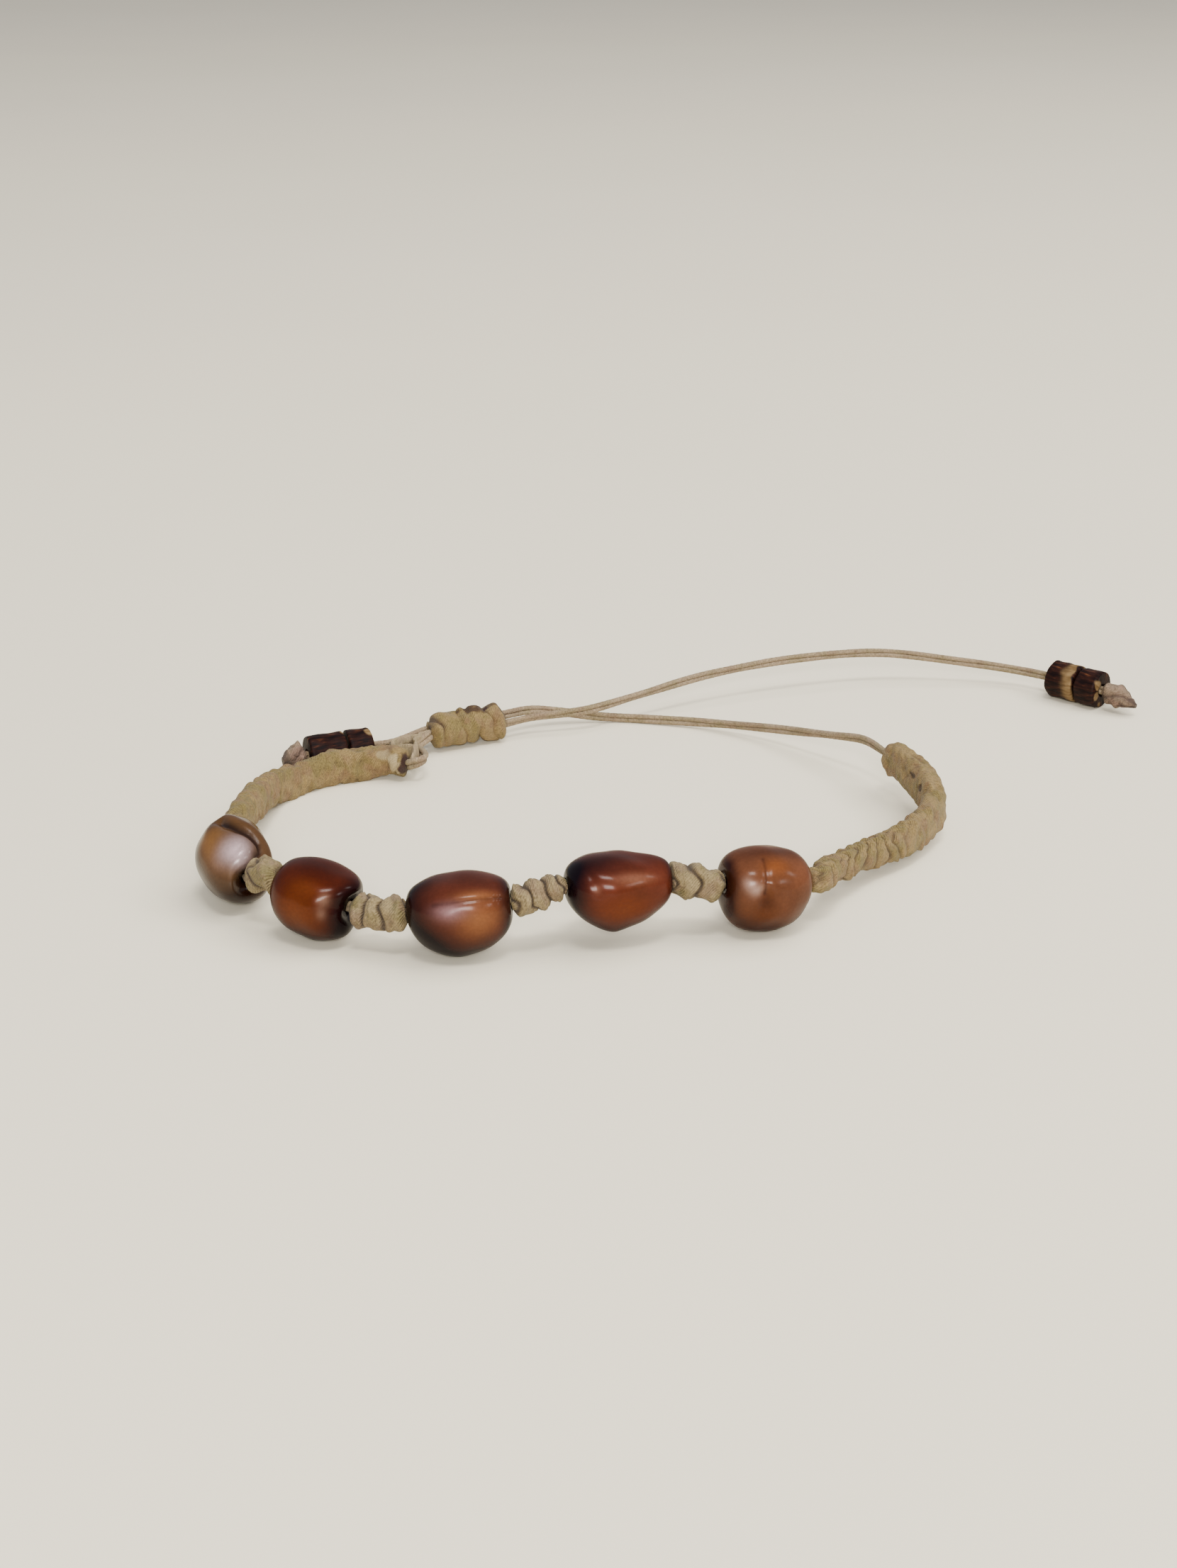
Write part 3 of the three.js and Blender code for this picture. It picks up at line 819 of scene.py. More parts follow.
@dataclass(frozen=True)
class Crease:
    """A soft-edged line on a pearl, through places given as a mark's at and turn."""

    route: tuple[tuple[float, float], ...]
    wide: float
    amount: float

    def over(self, share: Array, angle: Array, length: float) -> Array:
        """Return the line's strength: a bell curve of the distance to its nearest stretch.

        Args:
            share: shares of the pearl's length.
            angle: angles round the hole.
            length: the pearl's length in millimetres.

        Returns:
            The strength at each place.
        """
        flat = np.stack([share * length, angle * PEARL_R], axis=-1)
        route = np.array([(at * length, math.radians(turn) * PEARL_R) for at, turn in self.route])
        nearest = np.full(share.shape, np.inf)
        for start, end in zip(route[:-1], route[1:]):
            span = end - start
            along = np.clip(((flat - start) @ span) / (span @ span), 0, 1)
            nearest = np.minimum(nearest, np.linalg.norm(flat - start - along[..., None] * span, axis=-1))
        return self.amount * np.exp(-((nearest / self.wide) ** 2))


Marks = tuple[Mark | Crease, ...]


@dataclass(frozen=True)
class Pearl:
    """One baroque pearl, drilled from end to end.

    mouths are the radii of its two blunt ends, and lips push parts of an end out along the hole.
    Its darker marks paint shade on rims, underside, ends and creases over some tone of its own, and its pale
    marks paint sheen round the highlights.
    """

    name: str
    length: float
    lift: float
    tilt: float
    top: Outline
    bottom: Outline
    outer: Outline
    inner: Outline
    slot: str
    skin: Nacre
    mouths: tuple[float, float] = (BORE_R, BORE_R)
    lips: Marks = ()
    relief: Marks = ()
    warm: Marks = ()
    # Darker marks: partly the pearl's own tone, partly painted shade on rims, underside, ends and creases.
    dark_and_painted_shade: Marks = ()
    # Pale marks: partly a painted sheen round and on the highlights.
    pale: Marks = ()
    lump: float = 0.05
    rings: int = 130
    sides: int = 180

    def total(self, marks: Marks, share: Array, angle: Array) -> Array:
        """Return the sum of marks over the surface."""
        return sum((mark.over(share, angle, self.length) for mark in marks), np.zeros_like(share))

    def surface(self, start: Array, end: Array) -> tuple[Array, Array, Array]:
        """Return the skin round the hole from start to end.

        Each ring is an oval whose reach inwards, outwards, up and down comes from the four
        outlines, blended by the sine and cosine of the angle. Marks and a slow ripple then move
        the skin in or out along the ring's own direction, and lips move it along the hole.

        Args:
            start: the middle of the hole's first mouth.
            end: the middle of its other mouth.

        Returns:
            The grid, and the share of the length and the angle of each of its points.
        """
        share = (1 - np.cos(np.linspace(0, np.pi, self.rings))) / 2
        angle = angles_round(self.sides)
        share, angle = np.meshgrid(share, angle, indexing="ij")
        level, rise = np.cos(angle), np.sin(angle)
        side_mix, tall_mix = 0.5 + 0.5 * level, 0.5 + 0.5 * rise
        mouth = self.mouths[0] + (self.mouths[1] - self.mouths[0]) * share
        across = side_mix * self.inner.at(share, mouth) + (1 - side_mix) * self.outer.at(share, mouth)
        upright = tall_mix * self.top.at(share, mouth) + (1 - tall_mix) * self.bottom.at(share, mouth)
        tangent = unit(end - start)
        inward, up = beside(tangent)
        hole = start + share[..., None] * (end - start)
        offset = (level * across)[..., None] * inward + (rise * upright)[..., None] * up
        off = np.linalg.norm(offset, axis=-1)
        raised = self.lump * Ripple(3.2, len(self.name) + int(self.length * 10)).at(hole + offset)
        raised = raised + self.total(self.relief, share, angle)
        away = smoothstep(off, BORE_R, BORE_R + 1.2)
        offset = offset * (1 + raised * away / np.maximum(off, 0.5))[..., None]
        push = self.total(self.lips, share, angle) * np.sign(share - 0.5) * smoothstep(off, BORE_R, 2.0)
        return hole + offset + push[..., None] * tangent, share, angle

    def build(self, start: Array, end: Array) -> None:
        """Make the pearl, bored through, with its colour fields.

        What dips below the pearl's lift is eased up to it over its lowest two millimetres.

        Args:
            start: the middle of the hole's first mouth.
            end: the middle of its other mouth.
        """
        grid, share, angle = self.surface(start, end)
        low = float(grid[..., 2].min()) - self.lift
        grid[..., 2] -= low * np.clip(1 - (grid[..., 2] - self.lift) / 2.0, 0, 1)
        ring = BORE_R * spokes(angle[0], *beside(unit(end - start)))
        bore_share = np.concatenate([[1.0], np.linspace(1, 0, 9), [0.0]])[1:-1]
        bore = start + bore_share[:, None, None] * (end - start) + ring[None]
        along = np.concatenate([share[:, 0], bore_share]) * self.length
        piece = closed_skin(self.name + "_nacre", np.concatenate([grid, bore]), Ending.BORED, along)
        # The bore is filled with the darker colour as painted shade; over the skin the darker marks add
        # painted shade and the pale marks a painted sheen.
        fields = (("warm", self.warm, 0.0), ("dark_and_painted_shade", self.dark_and_painted_shade, 1.0), ("pale", self.pale, 0.0))
        for field_name, marks, in_bore in fields:
            inside = np.full((len(bore_share), self.sides), in_bore)
            total = self.total(marks, share, angle)
            write_field(piece, field_name, np.clip(np.concatenate([total, inside]), 0, 1))
        seat(piece, self.skin.material(), self.slot, self.name)


@dataclass(frozen=True)
class WrapKnot:
    """Turns of cord wound on the core between two pearls.

    tucks are the lengths over which the knot narrows at its two ends, insets how far its ends
    are from the pearls' mouths, arch how far its middle rises off the core, and narrowing the
    share of its radius that it loses at the ends.
    """

    name: str
    length: float
    start_r: float
    end_r: float
    turns: float
    lean: float
    seed: int
    tucks: tuple[float, float] = (0.5, 0.5)
    insets: tuple[float, float] = (0.08, 0.08)
    arch: float = 0.0
    turn_depth: float = 0.46
    thread_depth: float = 0.1
    narrowing: float = 0.48
    rings: int = 160
    sides: int = 84

    def build(self, core: Path, finish: Finish) -> None:
        """Make the knot as a rounded helical relief on a bar that follows the core.

        The radius swells over each turn as (1 - w^2)^0.9, with w across the turn, and the turn's
        place is the distance along plus a lean round the core. Each turn has three threads, and
        ripples make each turn its own size.

        Args:
            core: the core's line from one pearl's mouth to the next one's.
            finish: the cord's material.
        """
        distance = np.linspace(self.insets[0], core.length - self.insets[1], self.rings)
        angle = angles_round(self.sides)
        place, _, inward, up = core.axes(distance)
        ring = spokes(angle, inward[:, None], up[:, None])
        share = distance / core.length
        place = place + (self.arch * np.sin(np.pi * share))[:, None] * up
        base = self.start_r + (self.end_r - self.start_r) * share
        around = place[:, None] + base[:, None, None] * ring
        wander = 0.18 * Ripple(2.4, self.seed).at(around)
        phase = self.turns * share[:, None] + self.lean * np.sin(angle + 0.5)[None] + wander
        within = 2 * (phase % 1.0) - 1
        pillow = np.clip(1 - within**2, 0, 1) ** 0.9
        threads = np.abs(np.sin(3 * np.pi * phase)) ** 0.8
        radius = base[:, None] - self.turn_depth + self.turn_depth * pillow + self.thread_depth * threads
        radius = radius + 0.13 * Ripple(1.6, self.seed + 1).at(around)
        radius = radius + 0.1 * Ripple(3.6, self.seed + 2).at(around)
        from_start, to_end = distance - distance[0], distance[-1] - distance
        near = 1 - smoothstep(from_start, -0.2, self.tucks[0]) * smoothstep(to_end, -0.2, self.tucks[1])
        radius = radius * (1 - self.narrowing * near)[:, None]
        grid = place[:, None] + radius[..., None] * ring
        piece = closed_skin(self.name + "_wraps", grid, Ending.CAPPED, distance)
        # Painted shade between the turns and between their threads.
        write_field(piece, "painted_shade", np.clip(1.0 - 1.25 * pillow + 0.3 * (1 - threads), 0, 1))
        seat(piece, finish, "knotted_cord", self.name)


@dataclass(frozen=True)
class Spot:
    """A ragged patch in space, as its middle and its reach along x, y and z."""

    middle: tuple[float, float, float]
    reach: tuple[float, float, float]
    amount: float = 1.0

    def over(self, grid: Array) -> Array:
        """Return the patch's strength at places."""
        apart = np.linalg.norm((grid - np.array(self.middle)) / np.array(self.reach), axis=-1)
        return self.amount * (1 - smoothstep(apart + 0.25 * Ripple(1.0, 71).at(grid), 0.65, 1.1))


def spotted(spots: Sequence[Spot], grid: Array) -> Array:
    """Return the summed strength of spots at each place of a grid."""
    return sum((spot.over(grid) for spot in spots), np.zeros(grid.shape[:2]))


@dataclass(frozen=True)
class Band:
    """A band of square knots that stands on its edge.

    A section holds its place as a share, its thickness and height as shares of the band's, its
    lift, how far it has joined the pearl's height, and how deep the knots show. end_round is the
    length over which an end rounds off, and corners the power of the outline's superellipse.
    """

    name: str
    sections: tuple[tuple[float, float, float, float, float, float], ...]
    seed: int
    singed: tuple[Spot, ...] = ()
    waxed: tuple[Spot, ...] = ()
    dashes: tuple[Spot, ...] = ()
    end_round: float = 0.7
    corners: float = 2.7
    rib_depth: float = 0.4
    thread_depth: float = 0.06
    dash_depth: float = 0.22
    rings_a_rib: int = 20
    sides: int = 96

    def surface(self, path: Path) -> tuple[Array, Array, Array]:
        """Return the band's skin as a rounded bar with a rounded swelling for each knot.

        The outline is a superellipse. On the two faces a knot is one bar across the band, and at
        the edges its loops stand half a knot further on. A table column says how deep the knots
        show along the band, and ripples make each one its own.

        Args:
            path: the band's middle line, from its tip.

        Returns:
            The grid, the distance of each ring and how much painted shade each place gets.
        """
        count = int(round(path.length / RIB_PITCH)) * self.rings_a_rib
        share = np.linspace(0, 1, count + 1)
        distance = share * path.length
        angle = angles_round(self.sides)
        place, _, inward, up = path.axes(distance)
        from_end = np.minimum(distance, path.length - distance)
        ends = np.sqrt(np.clip(1 - (1 - from_end / self.end_round).clip(0, 1) ** 2, 0.04, 1))
        thick = BAND_THICK / 2 * column(self.sections, 1, share) * ends
        tall = BAND_TALL / 2 * column(self.sections, 2, share) * ends
        show = column(self.sections, 5, share)[:, None]
        power = 2 / self.corners
        level = np.sign(np.cos(angle)) * np.abs(np.cos(angle)) ** power
        rise = np.sign(np.sin(angle)) * np.abs(np.sin(angle)) ** power
        out = (thick[:, None] * level)[..., None] * inward[:, None]
        out = out + (tall[:, None] * rise)[..., None] * up[:, None]
        flat = place[:, None] + out
        lean = 0.25 * rise[None] * np.sign(np.cos(angle))[None]
        at_edge = smoothstep(np.abs(rise), 0.72, 0.98)[None]
        wander = 0.42 * Ripple(4.2, self.seed).at(flat)
        phase = path.length / RIB_PITCH * share[:, None] + lean + wander + 0.5 * at_edge
        within = 2 * (phase % 1.0) - 1
        pillow = np.clip(1 - within**2, 0, 1) ** 0.75
        threads = np.abs(np.cos(np.pi * 2.5 * phase)) ** 0.8
        lumps = Ripple(1.1, self.seed + 1).at(flat)
        knots = self.rib_depth * (pillow - 0.75) + self.thread_depth * threads
        relief = show * knots + 0.1 * lumps * (1.2 - 0.5 * show)
        relief = relief + 0.13 * Ripple(5.5, self.seed + 2).at(flat)
        dash = spotted(self.dashes, flat)
        away = unit(flat - place[:, None] + 1e-9)
        grid = flat + ((relief - self.dash_depth * dash) * np.minimum(ends, 1)[:, None])[..., None] * away
        grid[..., 2] = np.maximum(grid[..., 2], 0.0)
        # Painted shade in the gaps between the knots, in the dents of the dashes and in the low parts of the
        # lumps.
        painted_shade = (1 - pillow) * show + dash * 1.3 + 0.45 * smoothstep(-lumps, 0.35, 1.2) * (1 - show)
        return grid, distance, np.clip(painted_shade, 0, 1)

    def build(self, path: Path, finish: Finish) -> None:
        """Make the band, with its singed and waxed places.

        Args:
            path: the band's middle line, from its tip.
            finish: the cord's material.
        """
        grid, distance, painted_shade = self.surface(path)
        piece = closed_skin(self.name + "_knots", grid, Ending.CAPPED, distance)
        # The field of painted shade in the gaps, worked out with the surface.
        write_field(piece, "painted_shade", painted_shade)
        for field_name, spots in (("singe", self.singed), ("wax", self.waxed)):
            write_field(piece, field_name, np.clip(spotted(spots, grid), 0, 1))
        seat(piece, finish, "knotted_cord", self.name)


@dataclass(frozen=True)
class StrandPair:
    """Two fine waxed strands that lie together and turn slowly about each other."""

    name: str
    start_turn: float
    end_turn: float
    strand_d: float = STRAND_D
    ply_pitch: float = 0.8
    sides: int = 14
    step: float = 0.3

    def build(self, path: Path, finish: Finish) -> Piece:
        """Make both strands as round tubes on either side of the middle line.

        A strand's middle is off the path by about half its thickness, in a direction that turns
        evenly from one angle to another, in degrees from level, and sways a little. Its radius
        swells with its two plies.

        Args:
            path: the cord's middle line.
            finish: the cord's material.

        Returns:
            The piece that holds both strands.
        """
        count = max(24, int(path.length / self.step))
        distance = np.linspace(0, path.length, count)
        place, _, inward, up = path.axes(distance)
        turn = np.radians(self.start_turn + (self.end_turn - self.start_turn) * distance / path.length)
        turn = turn + 0.3 * np.sin(distance * 0.45)
        off = spokes(turn, inward, up)
        angle = angles_round(self.sides)
        ply = 1 + 0.05 * np.cos(2 * angle[None] - 2 * np.pi * distance[:, None] / self.ply_pitch)
        ring = spokes(angle, inward[:, None], up[:, None])
        strands = []
        for side in (-1, 1):
            middle = place + side * off * (self.strand_d * 0.47)
            grid = middle[:, None] + ring * (self.strand_d / 2 * ply)[..., None]
            strands.append(closed_skin(self.name + f"_strand{side}", grid, Ending.CAPPED, distance))
        piece = joined(self.name + "_strands", strands)
        seat(piece, finish, "fine_cord", self.name)
        return piece


@dataclass(frozen=True)
class Coil:
    """One turn of the sliding knot: its middle and half width as shares, and its slant."""

    at: float
    half: float
    slant: float


@dataclass(frozen=True)
class SlidingKnot:
    """Two wrapped blocks that slide on the crossing cords.

    end_share and waist_share are the shares of half its length over which an end and the waist
    round off, and waist_fill is how far turns of cord fill the waist.
    """

    name: str = "sliding_knot"
    coils: tuple[Coil, ...] = (
        Coil(0.03, 0.08, 0.07), Coil(0.28, 0.19, 0.03), Coil(0.53, 0.09, 0.05), Coil(0.71, 0.12, 0.09),
        Coil(0.91, 0.11, 0.08),
    )
    singed: tuple[Spot, ...] = (
        Spot((-13.2, 26.6, 4.2), (2.2, 1.1, 1.1), 0.85), Spot((-10.9, 28.0, 4.2), (1.8, 1.1, 0.8), 0.65),
        Spot((-9.2, 27.2, 1.3), (0.7, 0.9, 0.7), 0.7),
    )
    end_share: float = 0.16
    waist_share: float = 0.12
    waist_fill: float = 0.15
    coil_depth: float = 0.6
    rings: int = 240
    sides: int = 110

    def build(self, start: Array, end: Array, finish: Finish) -> None:
        """Make the knot as a drum with a waist, with a rounded swelling for each coil.

        A coil swells as (1 - w^2)^0.6, with w the distance from its slanted middle line in half
        widths, and where two coils meet the higher one shows.

        Args:
            start: the middle of the face towards the left band.
            end: the middle of the other face.
            finish: the cord's material.
        """
        inward, up = beside(unit(end - start))
        length = float(np.linalg.norm(end - start))
        share = np.linspace(0, 1, self.rings)
        angle = angles_round(self.sides)
        near_end = np.minimum(share, 1 - share) * 2
        rounding = near_end / self.end_share
        full = smoothstep(np.minimum(rounding, np.abs(2 * share - 1) / self.waist_share), 0, 1)
        waist = SLIDER_WAIST_R + self.waist_fill
        body = waist + (SLIDER_R - SLIDER_WAIST_R - self.waist_fill) * full
        body = body * np.sqrt(1 - 0.8 * (1 - np.clip(rounding, 0, 1)) ** 2)
        place = start + share[:, None] * (end - start)
        ring = spokes(angle, inward, up)
        rough = place[:, None] + ring * body[:, None, None]
        swell = np.zeros(rough.shape[:2])
        wander = 0.035 * Ripple(3.0, 41).at(rough)
        for coil in self.coils:
            off = (share[:, None] + coil.slant * np.sin(angle)[None] + wander - coil.at) / coil.half
            swell = np.maximum(swell, np.clip(1 - off**2, 0, 1) ** 0.6)
        relief = self.coil_depth * (swell - 0.7)
        relief = relief + 0.1 * Ripple(1.6, 42).at(rough) + 0.2 * Ripple(4.5, 43).at(rough)
        radius = body[:, None] + relief * smoothstep(near_end, 0.0, 0.08)[:, None]
        grid = place[:, None] + ring * radius[..., None]
        piece = closed_skin(self.name + "_wraps", grid, Ending.CAPPED, share * length)
        # Painted shade between the coils.
        write_field(piece, "painted_shade", np.clip(1.0 - 1.25 * swell, 0, 1))
        write_field(piece, "singe", np.clip(spotted(self.singed, grid), 0, 1))
        seat(piece, finish, "knotted_cord", self.name)


@dataclass(frozen=True)
class ShellBead:
    """A drilled disc of coconut shell with softened rims."""

    name: str
    length: float
    seed: int
    stripe: tuple[float, float, float] | None = None
    patches: tuple[tuple[float, float, float, float], ...] = ()
    rim: float = 0.3
    sides: int = 96

    def build(self, start: Array, heading: Array, finish: Finish) -> None:
        """Make the bead by turning a profile: bore, face, rounded rim, side, rim, face.

        A stripe runs round the side between two distances along and leans by a third one. A
        patch has its middle as distance along, radius and angle in degrees, then its size.

        Args:
            start: the middle of the first face.
            heading: the way along the cord.
            finish: the shell's material.
        """
        rim = self.rim
        corner = np.linspace(0, np.pi / 2, 7)
        face_r = np.linspace(BORE_R, BEAD_R - rim, 8)
        near = np.stack([np.zeros(8), face_r], -1)
        near_rim = np.stack([rim * (1 - np.cos(corner)), BEAD_R - rim + rim * np.sin(corner)], -1)[1:]
        side = np.stack([np.linspace(rim, self.length - rim, 26), np.full(26, BEAD_R)], -1)[1:-1]
        far_rim = np.stack([self.length - near_rim[::-1, 0], near_rim[::-1, 1]], -1)
        far = np.stack([np.full(8, self.length), face_r[::-1]], -1)
        bore = np.stack([np.linspace(self.length, 0, 8), np.full(8, BORE_R)], -1)[1:-1]
        profile = np.concatenate([near, near_rim, side, far_rim, far, bore])
        along, radius = profile[:, 0], profile[:, 1]
        angle = angles_round(self.sides)
        inward, up = beside(heading)
        ring = spokes(angle, inward, up)
        place = start + along[:, None] * heading
        grid = place[:, None] + ring * radius[:, None, None]
        out = smoothstep(radius, BORE_R + 0.3, BEAD_R)[:, None]
        grid = grid + (0.05 * Ripple(1.9, self.seed).at(grid) * out)[..., None] * ring
        grid[..., 2] = np.maximum(grid[..., 2], 0.0)
        walked = np.cumsum(np.r_[0, np.hypot(*np.diff(profile, axis=0).T)])
        piece = closed_skin(self.name + "_shell", grid, Ending.BORED, walked)
        ragged = 0.14 * Ripple(1.3, self.seed + 7).at(grid)
        tan = np.zeros(grid.shape[:2])
        if self.stripe is not None:
            low, high, lean = self.stripe
            at = along[:, None] + lean * np.sin(angle)[None] + ragged
            tan = smoothstep(at, low - 1.1, low + 0.4) ** 1.5 * (1 - smoothstep(at, high - 0.12, high + 0.12))
            tan = tan * smoothstep(radius, 1.6, 2.0)[:, None]
        for at, off, turn, size in self.patches:
            turned = math.radians(turn)
            middle = start + at * heading + off * (math.cos(turned) * inward + math.sin(turned) * up)
            apart = np.linalg.norm(grid - middle, axis=-1) / size + ragged
            tan = np.maximum(tan, 1 - smoothstep(apart, 0.7, 1.05))
        write_field(piece, "tan", tan)
        seat(piece, finish, "shell_bead", self.name)


@dataclass(frozen=True)
class EndKnot:
    """The crushed knot and frayed ends that stop the beads.

    A section holds its place as a share, its size as a share of the radius and how far it has
    dropped to the table.
    """

    name: str
    length: float
    radius: float
    seed: int
    sections: tuple[tuple[float, float, float], ...] = (
        (0, 0.6, 0), (0.15, 0.95, 0.05), (0.4, 1, 0.15), (0.65, 0.74, 0.3), (0.85, 0.42, 0.38),
        (1, 0.2, 0.42),
    )
    loose_ends: int = 9
    loose_r: float = 0.2
    rings: int = 90
    sides: int = 64

    def build(self, start: Array, heading: Array, finish: Finish) -> None:
        """Make the knot as a tapering lump with slanting folds, and strands that end in its tip.

        A fold is the absolute cosine of one and a half turns round plus a lean along. The loose
        strands thin towards the tip and weave in and out of the lump.

        Args:
            start: the middle of the knot's first ring.
            heading: the way along the cord.
            finish: the frayed cord's material.
        """
        share = np.linspace(0, 1, self.rings)
        angle = angles_round(self.sides)
        size = self.radius * column(self.sections, 1, share)
        sink = column(self.sections, 2, share)
        place = start + share[:, None] * self.length * heading
        place[:, 2] = start[2] + (size - start[2]) * sink
        inward, up = beside(heading)
        ring = spokes(angle, inward, up)
        fold = np.abs(np.cos(1.5 * angle[None] + 2.6 * share[:, None] + 0.4 * self.seed)) ** 0.6
        rough = place[:, None] + ring * size[:, None, None]
        relief = 0.2 * (fold - 0.75) + 0.1 * Ripple(1.3, self.seed).at(rough)
        grid = place[:, None] + ring * (size[:, None] * (1 + relief))[..., None]
        piece = closed_skin(self.name + "_folds", grid, Ending.CAPPED, share * self.length)
        # Painted shade in the folds, and a darker tone towards the tip.
        write_field(piece, "painted_shade", np.clip(1 - fold + 0.7 * smoothstep(share, 0.6, 1.0)[:, None], 0, 1))
        strands = [piece]
        draw = np.random.default_rng(self.seed)
        steps = np.linspace(0, 1, 14)
        around = angles_round(8)
        thin = self.loose_r * (1 - 0.55 * steps)
        for strand in range(self.loose_ends):
            turn = 2 * np.pi * strand / self.loose_ends + draw.uniform(-0.3, 0.3)
            begin = self.length * draw.uniform(0.25, 0.5)
            reach = self.length * draw.uniform(0.86, 1.0) - begin
            walk = begin + reach * steps
            base = np.stack([np.interp(walk, share * self.length, axis) for axis in place.T], -1)
            wide = np.interp(walk, share * self.length, size)
            off = math.cos(turn) * inward + math.sin(turn) * up
            middle = base + off * (wide * (0.86 + 0.15 * np.sin(3 * steps + strand)))[:, None]
            tube = middle[:, None] + thin[:, None, None] * spokes(around, inward, up)
            loose = closed_skin(f"{self.name}_end{strand}", tube, Ending.CAPPED, reach * steps)
            # The loose ends are given a darker tone towards their tips, through the same field.
            write_field(loose, "painted_shade", 0.75 * smoothstep(np.repeat(steps, len(around)), 0.4, 1.0))
            strands.append(loose)
        seat(joined(self.name + "_frayed", strands), finish, "frayed_cord", self.name)


@dataclass(frozen=True)
class BeadString:
    """Shell beads and an end knot, in a straight row at the end of a pull cord.

    place holds x and y of the first bead's face and the angle that the string points to.
    """

    place: tuple[float, float, float]
    beads: tuple[ShellBead, ...]
    knot: EndKnot

    @property
    def heading(self) -> Array:
        """The level way along the string."""
        return np.array([math.cos(self.place[2]), math.sin(self.place[2]), 0.0])

    def faces(self) -> list[Array]:
        """Return the middle of each bead's first face and, last, where the cord stops."""
        steps = np.cumsum([0.0, *(bead.length + GAP for bead in self.beads)])
        return [np.array([*self.place[:2], BEAD_R]) + self.heading * step for step in steps]

    def threading(self) -> list[Array]:
        """Return the cord's three places in the string: its start, its middle and its end."""
        first, *_, stop = self.faces()
        return [first, (first + stop) / 2, stop]

    def build(self, shell: Finish, frayed: Finish) -> None:
        """Make the beads and the knot.

        Args:
            shell: the beads' material.
            frayed: the knot's material.
        """
        *starts, stop = self.faces()
        for bead, start in zip(self.beads, starts):
            bead.build(start, self.heading, shell)
        self.knot.build(stop + self.heading * 0.1, self.heading, frayed)


# The bracelet's own finishes and pieces

KHAKI = WaxedThread(
    "khaki_knots", light=(0.205, 0.138, 0.052), olive=(0.155, 0.112, 0.036), rose=(0.17, 0.1, 0.045),
    plies_round=22.0, plies_along=2.4,
)
PALE_KHAKI = WaxedThread(
    "pale_wraps", light=(0.22, 0.162, 0.078), olive=(0.14, 0.108, 0.042), rose=(0.17, 0.112, 0.062),
    plies_round=18.0, plies_along=2.4,
)
FINE = WaxedThread(
    "fine_strands", light=(0.28, 0.205, 0.125), olive=(0.23, 0.175, 0.095), rose=(0.22, 0.15, 0.09),
    plies_round=2.0, plies_along=3.4,
)
FRAYED = WaxedThread(
    "frayed_ends", light=(0.2, 0.135, 0.085), olive=(0.12, 0.085, 0.055), rose=(0.17, 0.1, 0.07),
    plies_round=14.0, plies_along=2.0,
)

# Lines on the pearls that more than one of their fields follow
FOLD_1 = ((0.74, 77), (0.84, 62), (0.91, 58), (0.98, 72))
SEAM_3 = ((0.3, 147), (0.92, 144))
SEAM_5 = ((0.37, 112), (0.36, 134), (0.34, 158), (0.345, 176))
DENT_5 = ((0.345, 176), (0.36, 196))
